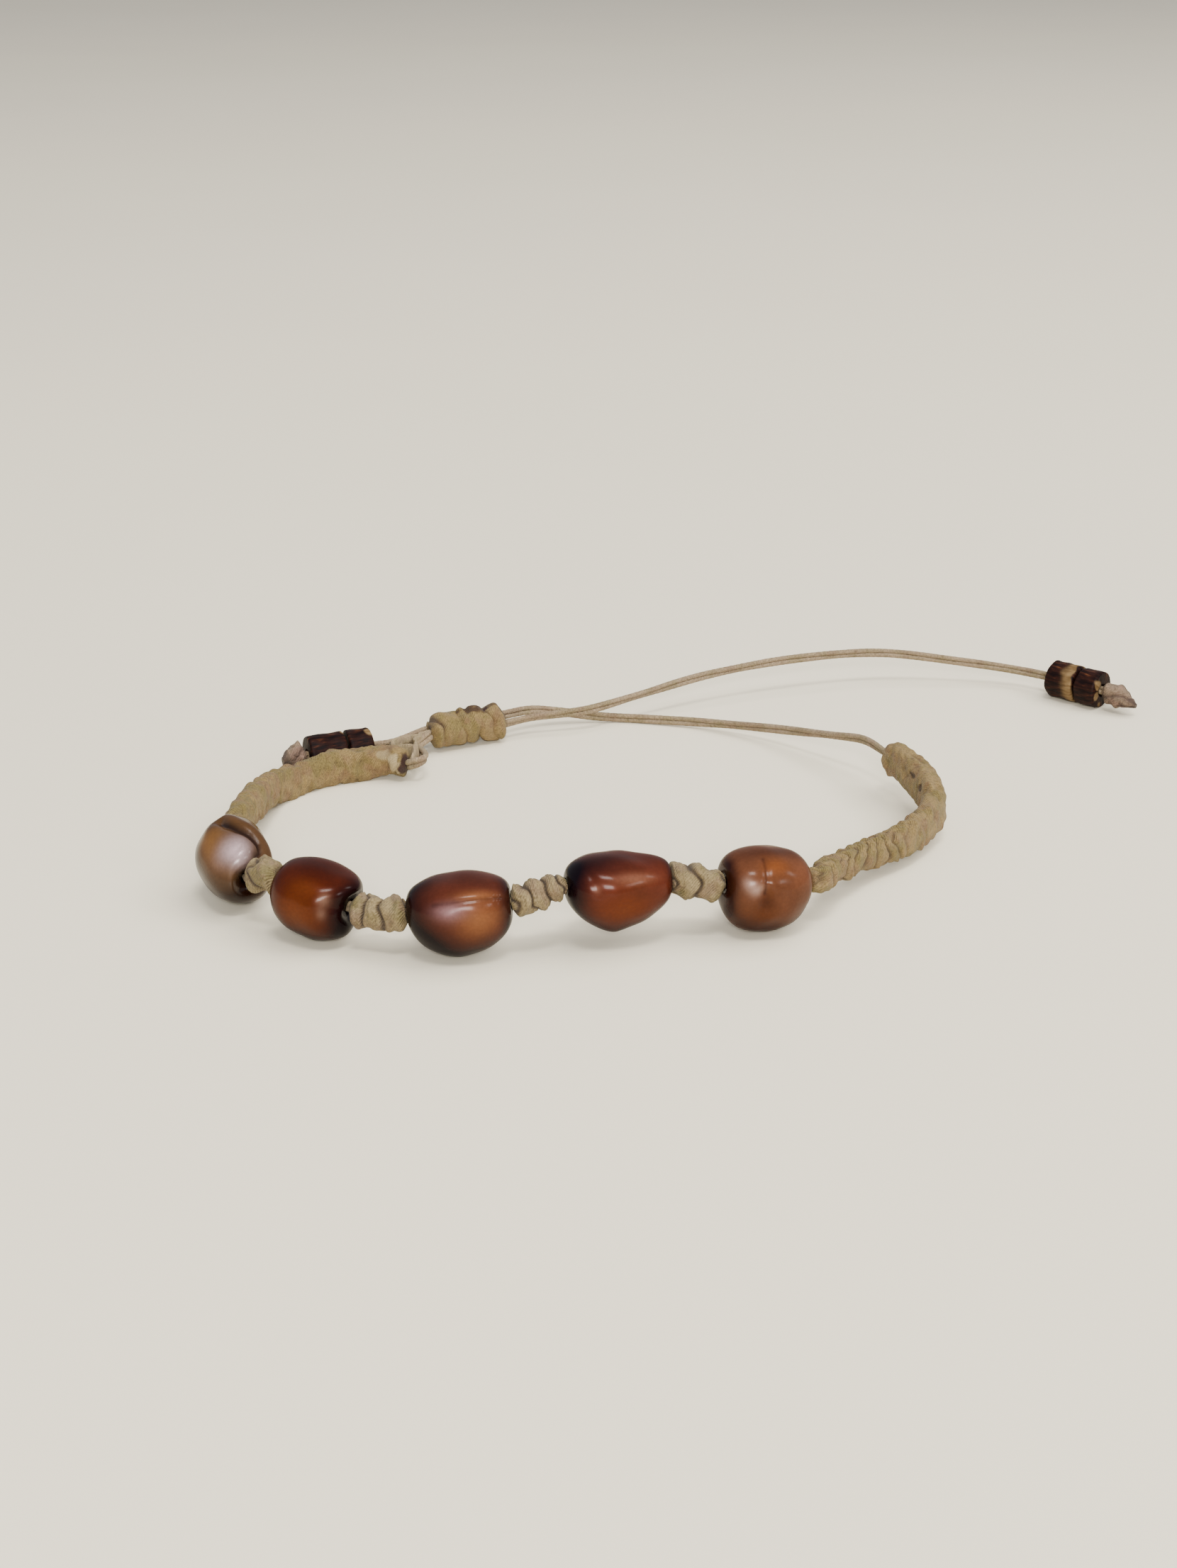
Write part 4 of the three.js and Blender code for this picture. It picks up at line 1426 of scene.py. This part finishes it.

# In each pearl the darker marks paint shade on its rims, underside, ends and creases over some tone of its
# own, and the pale marks paint sheen round its highlights.
PEARLS = (
    Pearl(
        name="pearl_1", length=9.0, lift=0.0, tilt=-0.1,
        top=Outline(4.2, 0.46, 2.1), bottom=Outline(4.1, 0.5, 2.0),
        outer=Outline(4.2, 0.5, 2.2), inner=Outline(3.0, 0.55, 2.0),
        slot="pearl_taupe",
        skin=Nacre(
            "taupe_nacre", body=(0.07, 0.04, 0.02), warm=(0.2, 0.1, 0.025), dark_and_painted_shade=(0.014, 0.005, 0.002),
            pale=(0.46, 0.38, 0.42), coat=0.7, coat_ior=1.36,
        ),
        mouths=(1.0, 1.5),
        lips=(Mark(1.0, 30, 0.3, 60, 0.5), Mark(1.0, 190, 0.25, 70, 1.0), Mark(0.9, 110, 0.14, 28, 0.45)),
        relief=(
            Crease(((0.38, 112), (0.52, 107), (0.65, 94), *FOLD_1), 0.5, -0.42),
            Crease(((0.3, 100), (0.5, 90), (0.58, 80), (0.7, 58), (0.8, 38), (0.92, 22)), 0.8, 0.28),
            Crease(((0.86, 100), (0.9, 124)), 0.2, -0.07), Mark(0.42, 124, 0.2, 18, 0.28),
        ),
        warm=(
            Mark(0.5, 135, 0.28, 22, 0.9), Mark(0.72, 152, 0.22, 18, 0.6),
            Crease(((0.3, 100), (0.5, 90), (0.7, 58), (0.92, 22)), 1.1, 0.3),
        ),
        # Darker marks: painted shade in the fold, on the top, the rims and underside, with some brown tone of
        # its own.
        dark_and_painted_shade=(
            Crease(((0.45, 110), (0.65, 94), *FOLD_1), 0.35, 0.85),
            Crease(((0.3, 100), (0.58, 78), (0.8, 38), (0.95, 20)), 1.3, 0.35),
            Mark(0.38, 124, 0.16, 14, 0.6), Mark(0.4, 174, 0.4, 20, 0.6),
            Mark(0.9, 262, 0.25, 55, 0.95), Mark(0.6, 228, 0.6, 38, 0.85),
        ),
        # Pale marks: a painted sheen round the two highlights, over the pearl's lavender tone.
        pale=(Mark(0.88, 110, 0.13, 24, 0.9), Mark(0.85, 140, 0.1, 20, 0.15)),
    ),
    Pearl(
        name="pearl_2", length=8.0, lift=0.0, tilt=-0.5,
        top=Outline(3.25, 0.48, 2.2), bottom=Outline(4.4, 0.52, 2.2),
        outer=Outline(4.0, 0.5, 2.2), inner=Outline(4.0, 0.5, 2.1),
        slot="pearl_brown",
        skin=Nacre(
            "chestnut_nacre", body=(0.05, 0.008, 0.002), warm=(0.115, 0.03, 0.006),
            dark_and_painted_shade=(0.004, 0.001, 0.002), pale=(0.22, 0.13, 0.09),
        ),
        mouths=(0.9, 1.8),
        lips=(Mark(1.0, 80, 0.3, 45, 0.55), Mark(1.0, 250, 0.3, 50, 0.45)),
        relief=(Mark(1.0, 160, 0.12, 16, -0.5), Mark(0.72, 165, 0.14, 30, 0.1)),
        warm=(Mark(0.55, 190, 0.3, 35, 0.95), Mark(0.6, 140, 0.2, 14, 0.4)),
        # Darker marks: painted shade on the ends, top and underside, over its own darker tone.
        dark_and_painted_shade=(
            Mark(1.02, 150, 0.13, 200, 0.98), Mark(0.0, 120, 0.12, 200, 0.5), Mark(0.4, 92, 0.45, 22, 0.4),
            Mark(0.5, 246, 0.6, 34, 0.95),
        ),
        # Pale marks: a painted sheen beside the highlights.
        pale=(Mark(0.85, 150, 0.06, 13, 0.6), Mark(0.86, 176, 0.05, 10, 0.45)),
    ),
    Pearl(
        name="pearl_3", length=9.9, lift=0.0, tilt=0.6,
        top=Outline(3.2, 0.47, 2.2), bottom=Outline(4.9, 0.47, 1.85),
        outer=Outline(4.1, 0.48, 1.95), inner=Outline(4.0, 0.5, 2.1),
        slot="pearl_brown",
        skin=Nacre(
            "bronze_nacre", body=(0.068, 0.017, 0.009), warm=(0.18, 0.07, 0.026),
            dark_and_painted_shade=(0.004, 0.001, 0.002), pale=(0.25, 0.15, 0.16),
        ),
        mouths=(0.9, 1.2),
        relief=(Crease(SEAM_3, 0.25, -0.07), Crease(((0.88, 110), (0.9, 134), (0.89, 165)), 0.2, -0.06)),
        warm=(Mark(0.72, 180, 0.2, 30, 1.0), Mark(0.72, 138, 0.2, 10, 0.7)),
        # Darker marks: painted shade on the ends, top, underside and in the seam, over its own darker tone.
        dark_and_painted_shade=(
            Mark(0.0, 130, 0.24, 300, 0.95), Mark(0.22, 215, 0.22, 35, 0.6), Mark(1.0, 140, 0.08, 300, 0.75),
            Mark(0.5, 92, 0.5, 20, 0.35), Mark(0.5, 246, 0.6, 34, 0.95), Crease(SEAM_3, 0.25, 0.3),
        ),
        # Pale mark: pink-grey tone where the highlights fall, partly a painted sheen.
        pale=(Mark(0.44, 159, 0.16, 13, 0.7),),
    ),
    Pearl(
        name="pearl_4", length=10.1, lift=1.35, tilt=-0.2,
        top=Outline(2.8, 0.4, 2.2), bottom=Outline(4.8, 0.47, 1.55),
        outer=Outline(3.7, 0.42, 2.0), inner=Outline(3.7, 0.42, 2.0),
        slot="pearl_bronze",
        skin=Nacre(
            "copper_nacre", body=(0.068, 0.015, 0.007), warm=(0.11, 0.024, 0.003),
            dark_and_painted_shade=(0.003, 0.0008, 0.003), pale=(0.24, 0.12, 0.08),
        ),
        mouths=(0.9, 1.4),
        relief=(Crease(((0.16, 120), (0.24, 175)), 0.4, -0.06),),
        warm=(Mark(0.5, 200, 0.25, 24, 0.9), Mark(0.6, 150, 0.2, 14, 0.6)),
        # Darker marks: painted shade on the ends, top and underside, over its own darker tone.
        dark_and_painted_shade=(
            Mark(0.0, 150, 0.15, 300, 1.0), Mark(0.25, 112, 0.22, 30, 0.55), Mark(1.0, 150, 0.05, 300, 0.7),
            Mark(0.6, 92, 0.5, 18, 0.4), Mark(0.45, 252, 0.5, 26, 0.8),
        ),
        # Pale marks: a small painted highlight on the left, and a lighter middle that is partly painted
        # sheen.
        pale=(Mark(0.22, 163, 0.04, 8, 0.4), Mark(0.58, 148, 0.2, 11, 0.4)),
    ),
    Pearl(
        name="pearl_5", length=8.6, lift=0.0, tilt=-0.45,
        top=Outline(3.4, 0.48, 2.2), bottom=Outline(5.0, 0.5, 2.2),
        outer=Outline(4.1, 0.5, 2.2), inner=Outline(4.1, 0.5, 2.1),
        slot="pearl_bronze",
        skin=Nacre(
            "rose_bronze_nacre", body=(0.105, 0.04, 0.019), warm=(0.18, 0.052, 0.008),
            dark_and_painted_shade=(0.02, 0.004, 0.002), pale=(0.32, 0.22, 0.18),
        ),
        mouths=(1.2, 1.2),
        relief=(Mark(0.36, 150, 0.13, 45, -0.22), Crease(SEAM_5, 0.35, -0.12), Crease(DENT_5, 0.75, -0.4)),
        warm=(Mark(0.48, 130, 0.16, 16, 0.6), Crease(DENT_5, 0.9, 0.5), Mark(0.4, 215, 0.3, 16, 0.4)),
        # Darker marks: painted shade on the ends, top, underside, in the seam and the dent, over its own
        # darker tone.
        dark_and_painted_shade=(
            Mark(0.0, 150, 0.07, 300, 0.95), Mark(0.45, 98, 0.5, 16, 0.5), Mark(1.0, 150, 0.08, 300, 0.45),
            Crease(SEAM_5, 0.16, 0.45), Mark(0.36, 188, 0.12, 18, 0.62), Mark(0.4, 240, 0.6, 36, 0.95),
        ),
        # Pale marks: a painted highlight low on the left lobe, and a pale pink patch beside it that is partly
        # painted sheen.
        pale=(Mark(0.24, 169, 0.08, 10, 0.85), Mark(0.14, 158, 0.06, 12, 0.5)),
    ),
)

WRAP_KNOTS = (
    WrapKnot(
        "knot_1_2", length=4.7, start_r=1.5, end_r=1.6, turns=1.9, lean=0.2, seed=11,
        tucks=(0.8, 0.6), insets=(1.15, 0.08), arch=0.65,
    ),
    WrapKnot(
        "knot_2_3", length=5.95, start_r=1.65, end_r=1.7, turns=3.0, lean=0.16, seed=12,
        tucks=(0.8, 0.5), insets=(0.4, 0.08),
    ),
    WrapKnot(
        "knot_3_4", length=5.45, start_r=1.55, end_r=1.5, turns=3.3, lean=0.14, seed=13, tucks=(0.5, 0.8),
    ),
    WrapKnot(
        "knot_4_5", length=5.4, start_r=1.6, end_r=1.75, turns=2.2, lean=0.22, seed=14, tucks=(0.3, 0.6),
    ),
)

# The bands' sections: place, thickness, height, lift, join, how deep the knots show
BAND_LEFT_SECTIONS = (
    (0.0, 0.7, 0.64, 0.9, 0.0, 0.4), (0.04, 0.95, 0.84, 0.5, 0.0, 0.45), (0.18, 1.0, 0.94, 0.1, 0.0, 0.3),
    (0.4, 1.0, 0.9, 0.0, 0.0, 0.25), (0.5, 1.0, 0.9, 0.0, 0.3, 0.3), (0.6, 1.0, 0.88, 0.0, 0.6, 0.3),
    (0.74, 1.0, 0.88, 0.0, 0.88, 0.3), (0.9, 0.95, 0.82, 0.0, 1.0, 0.3), (1.0, 0.8, 0.66, 0.0, 1.0, 0.3),
)
BAND_RIGHT_SECTIONS = (
    (0.0, 0.7, 0.66, 3.0, 0.0, 0.3), (0.04, 0.95, 0.94, 2.4, 0.0, 0.3), (0.18, 1.0, 1.0, 1.9, 0.0, 0.2),
    (0.36, 1.0, 0.98, 1.25, 0.0, 0.2), (0.5, 1.0, 0.88, 1.1, 0.0, 0.4), (0.64, 1.08, 0.7, 1.4, 0.0, 0.9),
    (0.8, 1.0, 0.6, 2.0, 0.15, 1.0), (0.94, 0.92, 0.54, 2.0, 0.9, 0.9), (1.0, 0.8, 0.5, 0.0, 1.0, 0.7),
)

BAND_LEFT = Band(
    "band_left", BAND_LEFT_SECTIONS, 21,
    singed=(Spot((-20.0, 13.8, 2.2), (0.8, 1.2, 1.5)),),
    waxed=(Spot((-21.2, 13.6, 2.2), (1.1, 0.8, 1.2), 0.85), Spot((-22.3, 14.2, 3.2), (0.9, 0.8, 0.6), 0.6)),
)
BAND_RIGHT = Band(
    "band_right", BAND_RIGHT_SECTIONS, 31,
    dashes=(Spot((35.5, 4.3, 4.8), (0.4, 0.95, 0.3)), Spot((36.05, 1.9, 4.3), (0.4, 0.9, 0.6))),
)

LEVEL_TUFT = ((0, 0.6, 0), (0.2, 1.0, 0), (0.5, 0.95, 0.05), (0.75, 0.7, 0.1), (1, 0.35, 0.15))
RIGHT_STRING = BeadString(
    BEADS_RIGHT_PLACE,
    beads=(
        ShellBead("right_bead_1", 3.8, 51, stripe=(2.9, 3.8, 0.3)),
        ShellBead("right_bead_2", 2.8, 52, patches=(
            (2.8, 1.4, 140, 0.8), (2.8, 1.3, 200, 0.6), (2.8, 1.8, 255, 0.4),
        )),
    ),
    knot=EndKnot("right_end_knot", 4.4, 1.35, 61),
)
LEFT_STRING = BeadString(
    BEADS_LEFT_PLACE,
    beads=(
        ShellBead("left_bead_1", 2.8, 53, patches=((0.3, 2.2, 75, 0.7),)),
        ShellBead("left_bead_2", 4.3, 54, patches=((0.0, 2.2, 90, 0.45),)),
    ),
    knot=EndKnot("left_end_knot", 2.5, 1.6, 62, LEVEL_TUFT),
)


@dataclass
class Row:
    """The row of bands, pearls and knots, laid out along its route."""

    holes: list[tuple[Array, Array]] = field(init=False)
    knot_paths: list[Path] = field(init=False)
    core: Path = field(init=False)
    left: Path = field(init=False)
    right: Path = field(init=False)
    stretch: float = field(init=False)

    def __post_init__(self) -> None:
        """Place every piece between two distances from the left band's tip."""
        lengths = [BAND_LEFT_LENGTH]
        for number, pearl in enumerate(PEARLS):
            lengths.append(pearl.length)
            lengths.append(WRAP_KNOTS[number].length if number < len(WRAP_KNOTS) else BAND_RIGHT_LENGTH)
        total = sum(lengths)
        route = Path(spline(np.array(ROW_ROUTE), 80))
        self.stretch = stretch = total / route.length

        def on_row(distance: float) -> Array:
            """Return the place on the table at a distance from the left band's tip."""
            flat = route.at(np.array(distance) / stretch) * stretch
            return np.array([flat[0], flat[1], 0.0])

        self.holes = []
        passed = BAND_LEFT_LENGTH
        for number, pearl in enumerate(PEARLS):
            start, end = on_row(passed), on_row(passed + pearl.length)
            start[2], end[2] = -pearl.tilt, pearl.tilt
            heading = unit(end - start)
            middle = (start + end) / 2
            start = middle - heading * pearl.length / 2
            end = middle + heading * pearl.length / 2
            node_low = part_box(pearl.name)[0].z / MM
            skin = pearl.surface(start, end)[0]
            rise = node_low - float(skin[..., 2].min())
            start[2] += rise
            end[2] += rise
            self.holes.append((start, end))
            passed += lengths[2 * number + 1] + lengths[2 * number + 2]
        self.lay_core()
        right_joins = total - BAND_RIGHT_LENGTH
        self.left = self.band_path(BAND_LEFT_SECTIONS, on_row, 0.0, BAND_LEFT_LENGTH, *self.mouth(0))
        self.right = self.band_path(BAND_RIGHT_SECTIONS, on_row, total, right_joins, *self.mouth(-1))

    def mouth(self, place: int) -> tuple[Array, Array]:
        """Return the outer mouth of the first or last hole and the way out of it."""
        start, end = self.holes[place]
        return (start, unit(start - end)) if place == 0 else (end, unit(end - start))

    def lay_core(self) -> None:
        """Run the core straight through each pearl and on a cubic curve between two."""
        pieces, self.knot_paths = [], []
        share = np.linspace(0, 1, 40)[:, None]
        for number, (start, end) in enumerate(self.holes):
            pieces.append(start + share[:-1] * (end - start))
            if number + 1 == len(self.holes):
                pieces.append(end[None])
                continue
            after, beyond = self.holes[number + 1]
            reach = np.linalg.norm(after - end) / 3
            leave = end + unit(end - start) * reach
            arrive = after - unit(beyond - after) * reach
            curve = (
                (1 - share) ** 3 * end
                + 3 * (1 - share) ** 2 * share * leave
                + 3 * (1 - share) * share**2 * arrive
                + share**3 * after
            )
            self.knot_paths.append(Path(curve))
            pieces.append(curve[:-1])
        self.core = Path(np.vstack(pieces))

    @staticmethod
    def band_path(
        sections: Sequence[tuple[float, ...]],
        on_row: Callable[[float], Array],
        tip: float,
        pearl: float,
        mouth: Array,
        away: Array,
    ) -> Path:
        """Return a band's middle line, from its tip along the row and straight into the pearl.

        Args:
            sections: the band's table of sections.
            on_row: the place on the table at a distance along the row.
            tip: the distance of the band's tip.
            pearl: the distance of the pearl's mouth.
            mouth: the middle of that mouth.
            away: the way out of it.

        Returns:
            The line that the band follows.
        """
        share = BAND_ON_ROW * np.arange(15) / 14
        points = np.array([on_row(tip + (pearl - tip) * at) for at in share])
        resting = BAND_TALL * column(sections, 2, share) / 2 + column(sections, 3, share) - BAND_PRESS
        points[:, 2] = resting + (mouth[2] - resting) * column(sections, 4, share)
        line = np.vstack([points, mouth + away * BAND_STRAIGHT, mouth + away * BAND_STOP])
        return Path(spline(line, 40))


@dataclass
class Bracelet:
    """The whole bracelet: the row, the sliding knot, the cords and their beads."""

    row: Row = field(default_factory=Row)
    pull_right: Path = field(init=False)
    free_cord: Piece = field(init=False)

    def build(self) -> None:
        """Make and dress every piece in order."""
        khaki, pale, fine, frayed = (finish.material() for finish in (KHAKI, PALE_KHAKI, FINE, FRAYED))
        shell = Shell("coconut_shell").material()
        self.lay_cords(fine)
        for pearl, (start, end) in zip(PEARLS, self.row.holes):
            pearl.build(start, end)
        for knot, path in zip(WRAP_KNOTS, self.row.knot_paths):
            knot.build(path, pale)
        StrandPair("core_cord", 0.0, 270.0).build(self.row.core, fine)
        BAND_LEFT.build(self.row.left, khaki)
        BAND_RIGHT.build(self.row.right, khaki)
        SlidingKnot().build(*self.slider_ends(), khaki)
        self.thread_beads(shell, frayed)

    def slider_ends(self) -> tuple[Array, Array]:
        """Find the sliding knot's two faces, which move out with the row.

        Returns:
            The middle of the face towards the left band, and of the other one.
        """
        x, y, turn = SLIDER_PLACE
        heading = np.array([math.cos(turn), math.sin(turn), 0.0])
        middle = np.array([x * self.row.stretch, y * self.row.stretch, SLIDER_R + SLIDER_LIFT])
        return middle - heading * SLIDER_LENGTH / 2, middle + heading * SLIDER_LENGTH / 2

    def slider_port(self, outward: int, to_back: int) -> Array:
        """Find where a pair of strands meets one face of the sliding knot.

        Args:
            outward: 1 for the face away from the left band, -1 for the other.
            to_back: 1 for the pair at the back, -1 for the one in front.

        Returns:
            The place, beside the face's middle and just off it.
        """
        start, end = self.slider_ends()
        heading = unit(end - start)
        inward, _ = beside(heading)
        slope = 0.6 if outward > 0 else 0.0
        to_pair = unit(inward + np.array([0.0, 0.0, slope]))
        face = end if outward > 0 else start
        return face + to_pair * to_back * (PAIR_D + GAP) / 2 + heading * outward * 0.05

    def lay_cords(self, fine: Finish) -> None:
        """Lay the closing pair, the link and the two pull cords.

        Args:
            fine: the strands' material.
        """
        off_right = self.row.right.at(np.array(0.0))
        off_left = self.row.left.at(np.array(0.0))
        closing = Path(spline(np.vstack([off_right, CLOSING_ROUTE, self.slider_port(1, 1)])))
        link = Path(spline(np.vstack([off_left, LINK_ROUTE, self.slider_port(-1, -1)])))
        pull = np.vstack([self.slider_port(1, -1), PULL_RIGHT_ROUTE, *RIGHT_STRING.threading()])
        self.pull_right = Path(spline(pull))
        left = np.vstack([self.slider_port(-1, 1), PULL_LEFT_ROUTE, *LEFT_STRING.threading()])
        StrandPair("closing_cord", 60.0, 120.0).build(closing, fine)
        link_cord = StrandPair("link_cord", 95.0, 80.0, 0.64).build(link, fine)
        self.add_wax_web(link_cord)
        StrandPair("pull_cord_left", 90.0, 60.0, 0.62).build(Path(spline(left)), fine)
        self.free_cord = StrandPair("pull_cord_right", 110.0, 60.0).build(self.pull_right, fine)

    @staticmethod
    def add_wax_web(link_cord: Piece) -> None:
        """Join a thin upright web of wax to the link, from the band to the sliding knot.

        It has three lobes, one from the band's back, one beside its tip and one between them. A
        lobe's section is an oval, with the height and thickness of each row of its table.

        Args:
            link_cord: the link's two strands, which the web joins.
        """
        webs = []
        for rows in WAX_WEB:
            line = spline(np.array(rows), 10)
            angle = angles_round(28)
            across = unit(np.cross(np.gradient(line[:, :3], axis=0), UP))
            grid = line[:, None, :3] + (line[:, 4:5] * np.cos(angle))[..., None] * across[:, None]
            grid[..., 2] += line[:, 3:4] * np.sin(angle)
            grid += 0.1 * Ripple(1.5, 81).at(grid)[..., None] * across[:, None]
            web = closed_skin("wax_web", grid, Ending.CAPPED)
            write_field(web, "wax", np.full(grid.shape[:2], WEB_WAX))
            web.data.materials.append(link_cord.data.materials[0])
            webs.append(web)
        joined("link_cord_strands", [link_cord, *webs])

    def thread_beads(self, shell: Finish, frayed: Finish) -> None:
        """Args:
            shell: the beads' material.
            frayed: the end knots' material.
        """
        for string in (RIGHT_STRING, LEFT_STRING):
            string.build(shell, frayed)
        names = [bead.name + "_shell" for bead in RIGHT_STRING.beads] + [RIGHT_STRING.knot.name + "_frayed"]
        line = self.pull_right.at(np.linspace(0, self.pull_right.length, 240)) * MM
        tuple(line[0])


@dataclass(frozen=True)
class Pane:
    """One soft light, aimed at the bracelet.

    turn and climb are its angles round and over the target in degrees, with turn 0 on the
    camera's side. away, wide and tall are in metres.
    """

    name: str
    turn: float
    climb: float
    away: float
    wide: float
    tall: float
    watts: float
    tint: Colour = (1.0, 0.99, 0.97)
    mirrored: bool = True

    def hang(self, target: Vector) -> None:
        """Add the light at its angles round and over the target.

        Args:
            target: the place that it faces.
        """
        turn, climb = math.radians(self.turn), math.radians(self.climb)
        reach = Vector((math.sin(turn) * math.cos(climb), -math.cos(turn) * math.cos(climb), math.sin(climb)))
        lamp = bpy.data.lights.new(self.name, "AREA")
        lamp.shape = "RECTANGLE"
        lamp.size, lamp.size_y, lamp.energy, lamp.color = self.wide, self.tall, self.watts, self.tint
        holder = bpy.data.objects.new(self.name, lamp)
        holder.location = target + reach * self.away
        holder.rotation_euler = (-reach).to_track_quat("-Z", "Y").to_euler()
        holder.visible_glossy = self.mirrored
        bpy.context.scene.collection.objects.link(holder)


@dataclass(frozen=True)
class Studio:
    """The floor, the lights and the camera.

    climb is the camera's angle over the table in degrees, and lengths are in metres. A pane's row
    holds its turn, climb, distance, width, height and watts.
    """

    aim: tuple[float, float, float] = (0.0006, 0.0135, 0.0)
    climb: float = 22.0
    distance: float = 0.265
    focal_px: float = 3325.0
    image_tall_px: float = 2212.0
    sensor: float = 36.0
    floor_half: float = 1.5
    sky: Colour = (0.93, 0.95, 1.0)
    sky_strength: float = 0.6
    panes: tuple[Pane, ...] = (
        Pane("window_low", 2, 26, 0.9, 0.24, 0.2, 7.0),
        Pane("window_high", 6, 68, 0.9, 0.24, 0.16, 4.6),
        Pane("side_low", 47, 26, 0.9, 0.16, 0.16, 1.1),
        Pane("side_high", 80, 40, 0.9, 0.16, 0.16, 0.9),
        Pane("ceiling", 100, 62, 1.1, 1.0, 1.0, 16.0, (1.0, 0.985, 0.95), False),
    )

    def build(self) -> None:
        """Lay the floor, hang the lights and set the camera."""
        square = np.array([[-1, -1, 0], [1, -1, 0], [1, 1, 0], [-1, 1, 0]]) * self.floor_half
        mesh = bpy.data.meshes.new("floor")
        mesh.from_pydata(square.tolist(), [], [[0, 1, 2, 3]])
        floor = bpy.data.objects.new("floor", mesh)
        floor.data.materials.append(Tabletop().material())
        bpy.context.scene.collection.objects.link(floor)
        floor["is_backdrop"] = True
        target = Vector(self.aim)
        for pane in self.panes:
            pane.hang(target)
        world = bpy.data.worlds.new("room")
        world.use_nodes = True
        background = world.node_tree.nodes["Background"]
        background.inputs["Color"].default_value = (*self.sky, 1.0)
        background.inputs["Strength"].default_value = self.sky_strength
        bpy.context.scene.world = world
        self.set_camera(target)

    def set_camera(self, target: Vector) -> None:
        """Set the camera at the photograph's height and distance.

        Args:
            target: the place that it faces.
        """
        climb = math.radians(self.climb)
        lens = bpy.data.cameras.new("camera")
        lens.sensor_fit = "VERTICAL"
        lens.sensor_height = self.sensor
        lens.lens = self.focal_px / self.image_tall_px * self.sensor
        lens.clip_start, lens.clip_end = 0.01, 20.0
        holder = bpy.data.objects.new("camera", lens)
        back = Vector((0.0, -math.cos(climb), math.sin(climb)))
        holder.location = target + back * self.distance
        holder.rotation_euler = (-back).to_track_quat("-Z", "Y").to_euler()
        bpy.context.scene.collection.objects.link(holder)
        bpy.context.scene.camera = holder


def corners(bounds: Sequence[Sequence[float]]) -> list[list[float]]:
    """Return a box's two corners as plain lists."""
    return [[float(value) for value in corner] for corner in bounds]


def main() -> None:
    """Build the bracelet and its studio around the frame, and measure both sizes."""
    logging.basicConfig(level=logging.INFO, format="%(message)s")
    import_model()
    cad = corners(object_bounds())
    Studio().build()
    Bracelet().build()
    {"cad": cad, "visual": corners(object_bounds())}


if __name__ == "__main__":
    main()
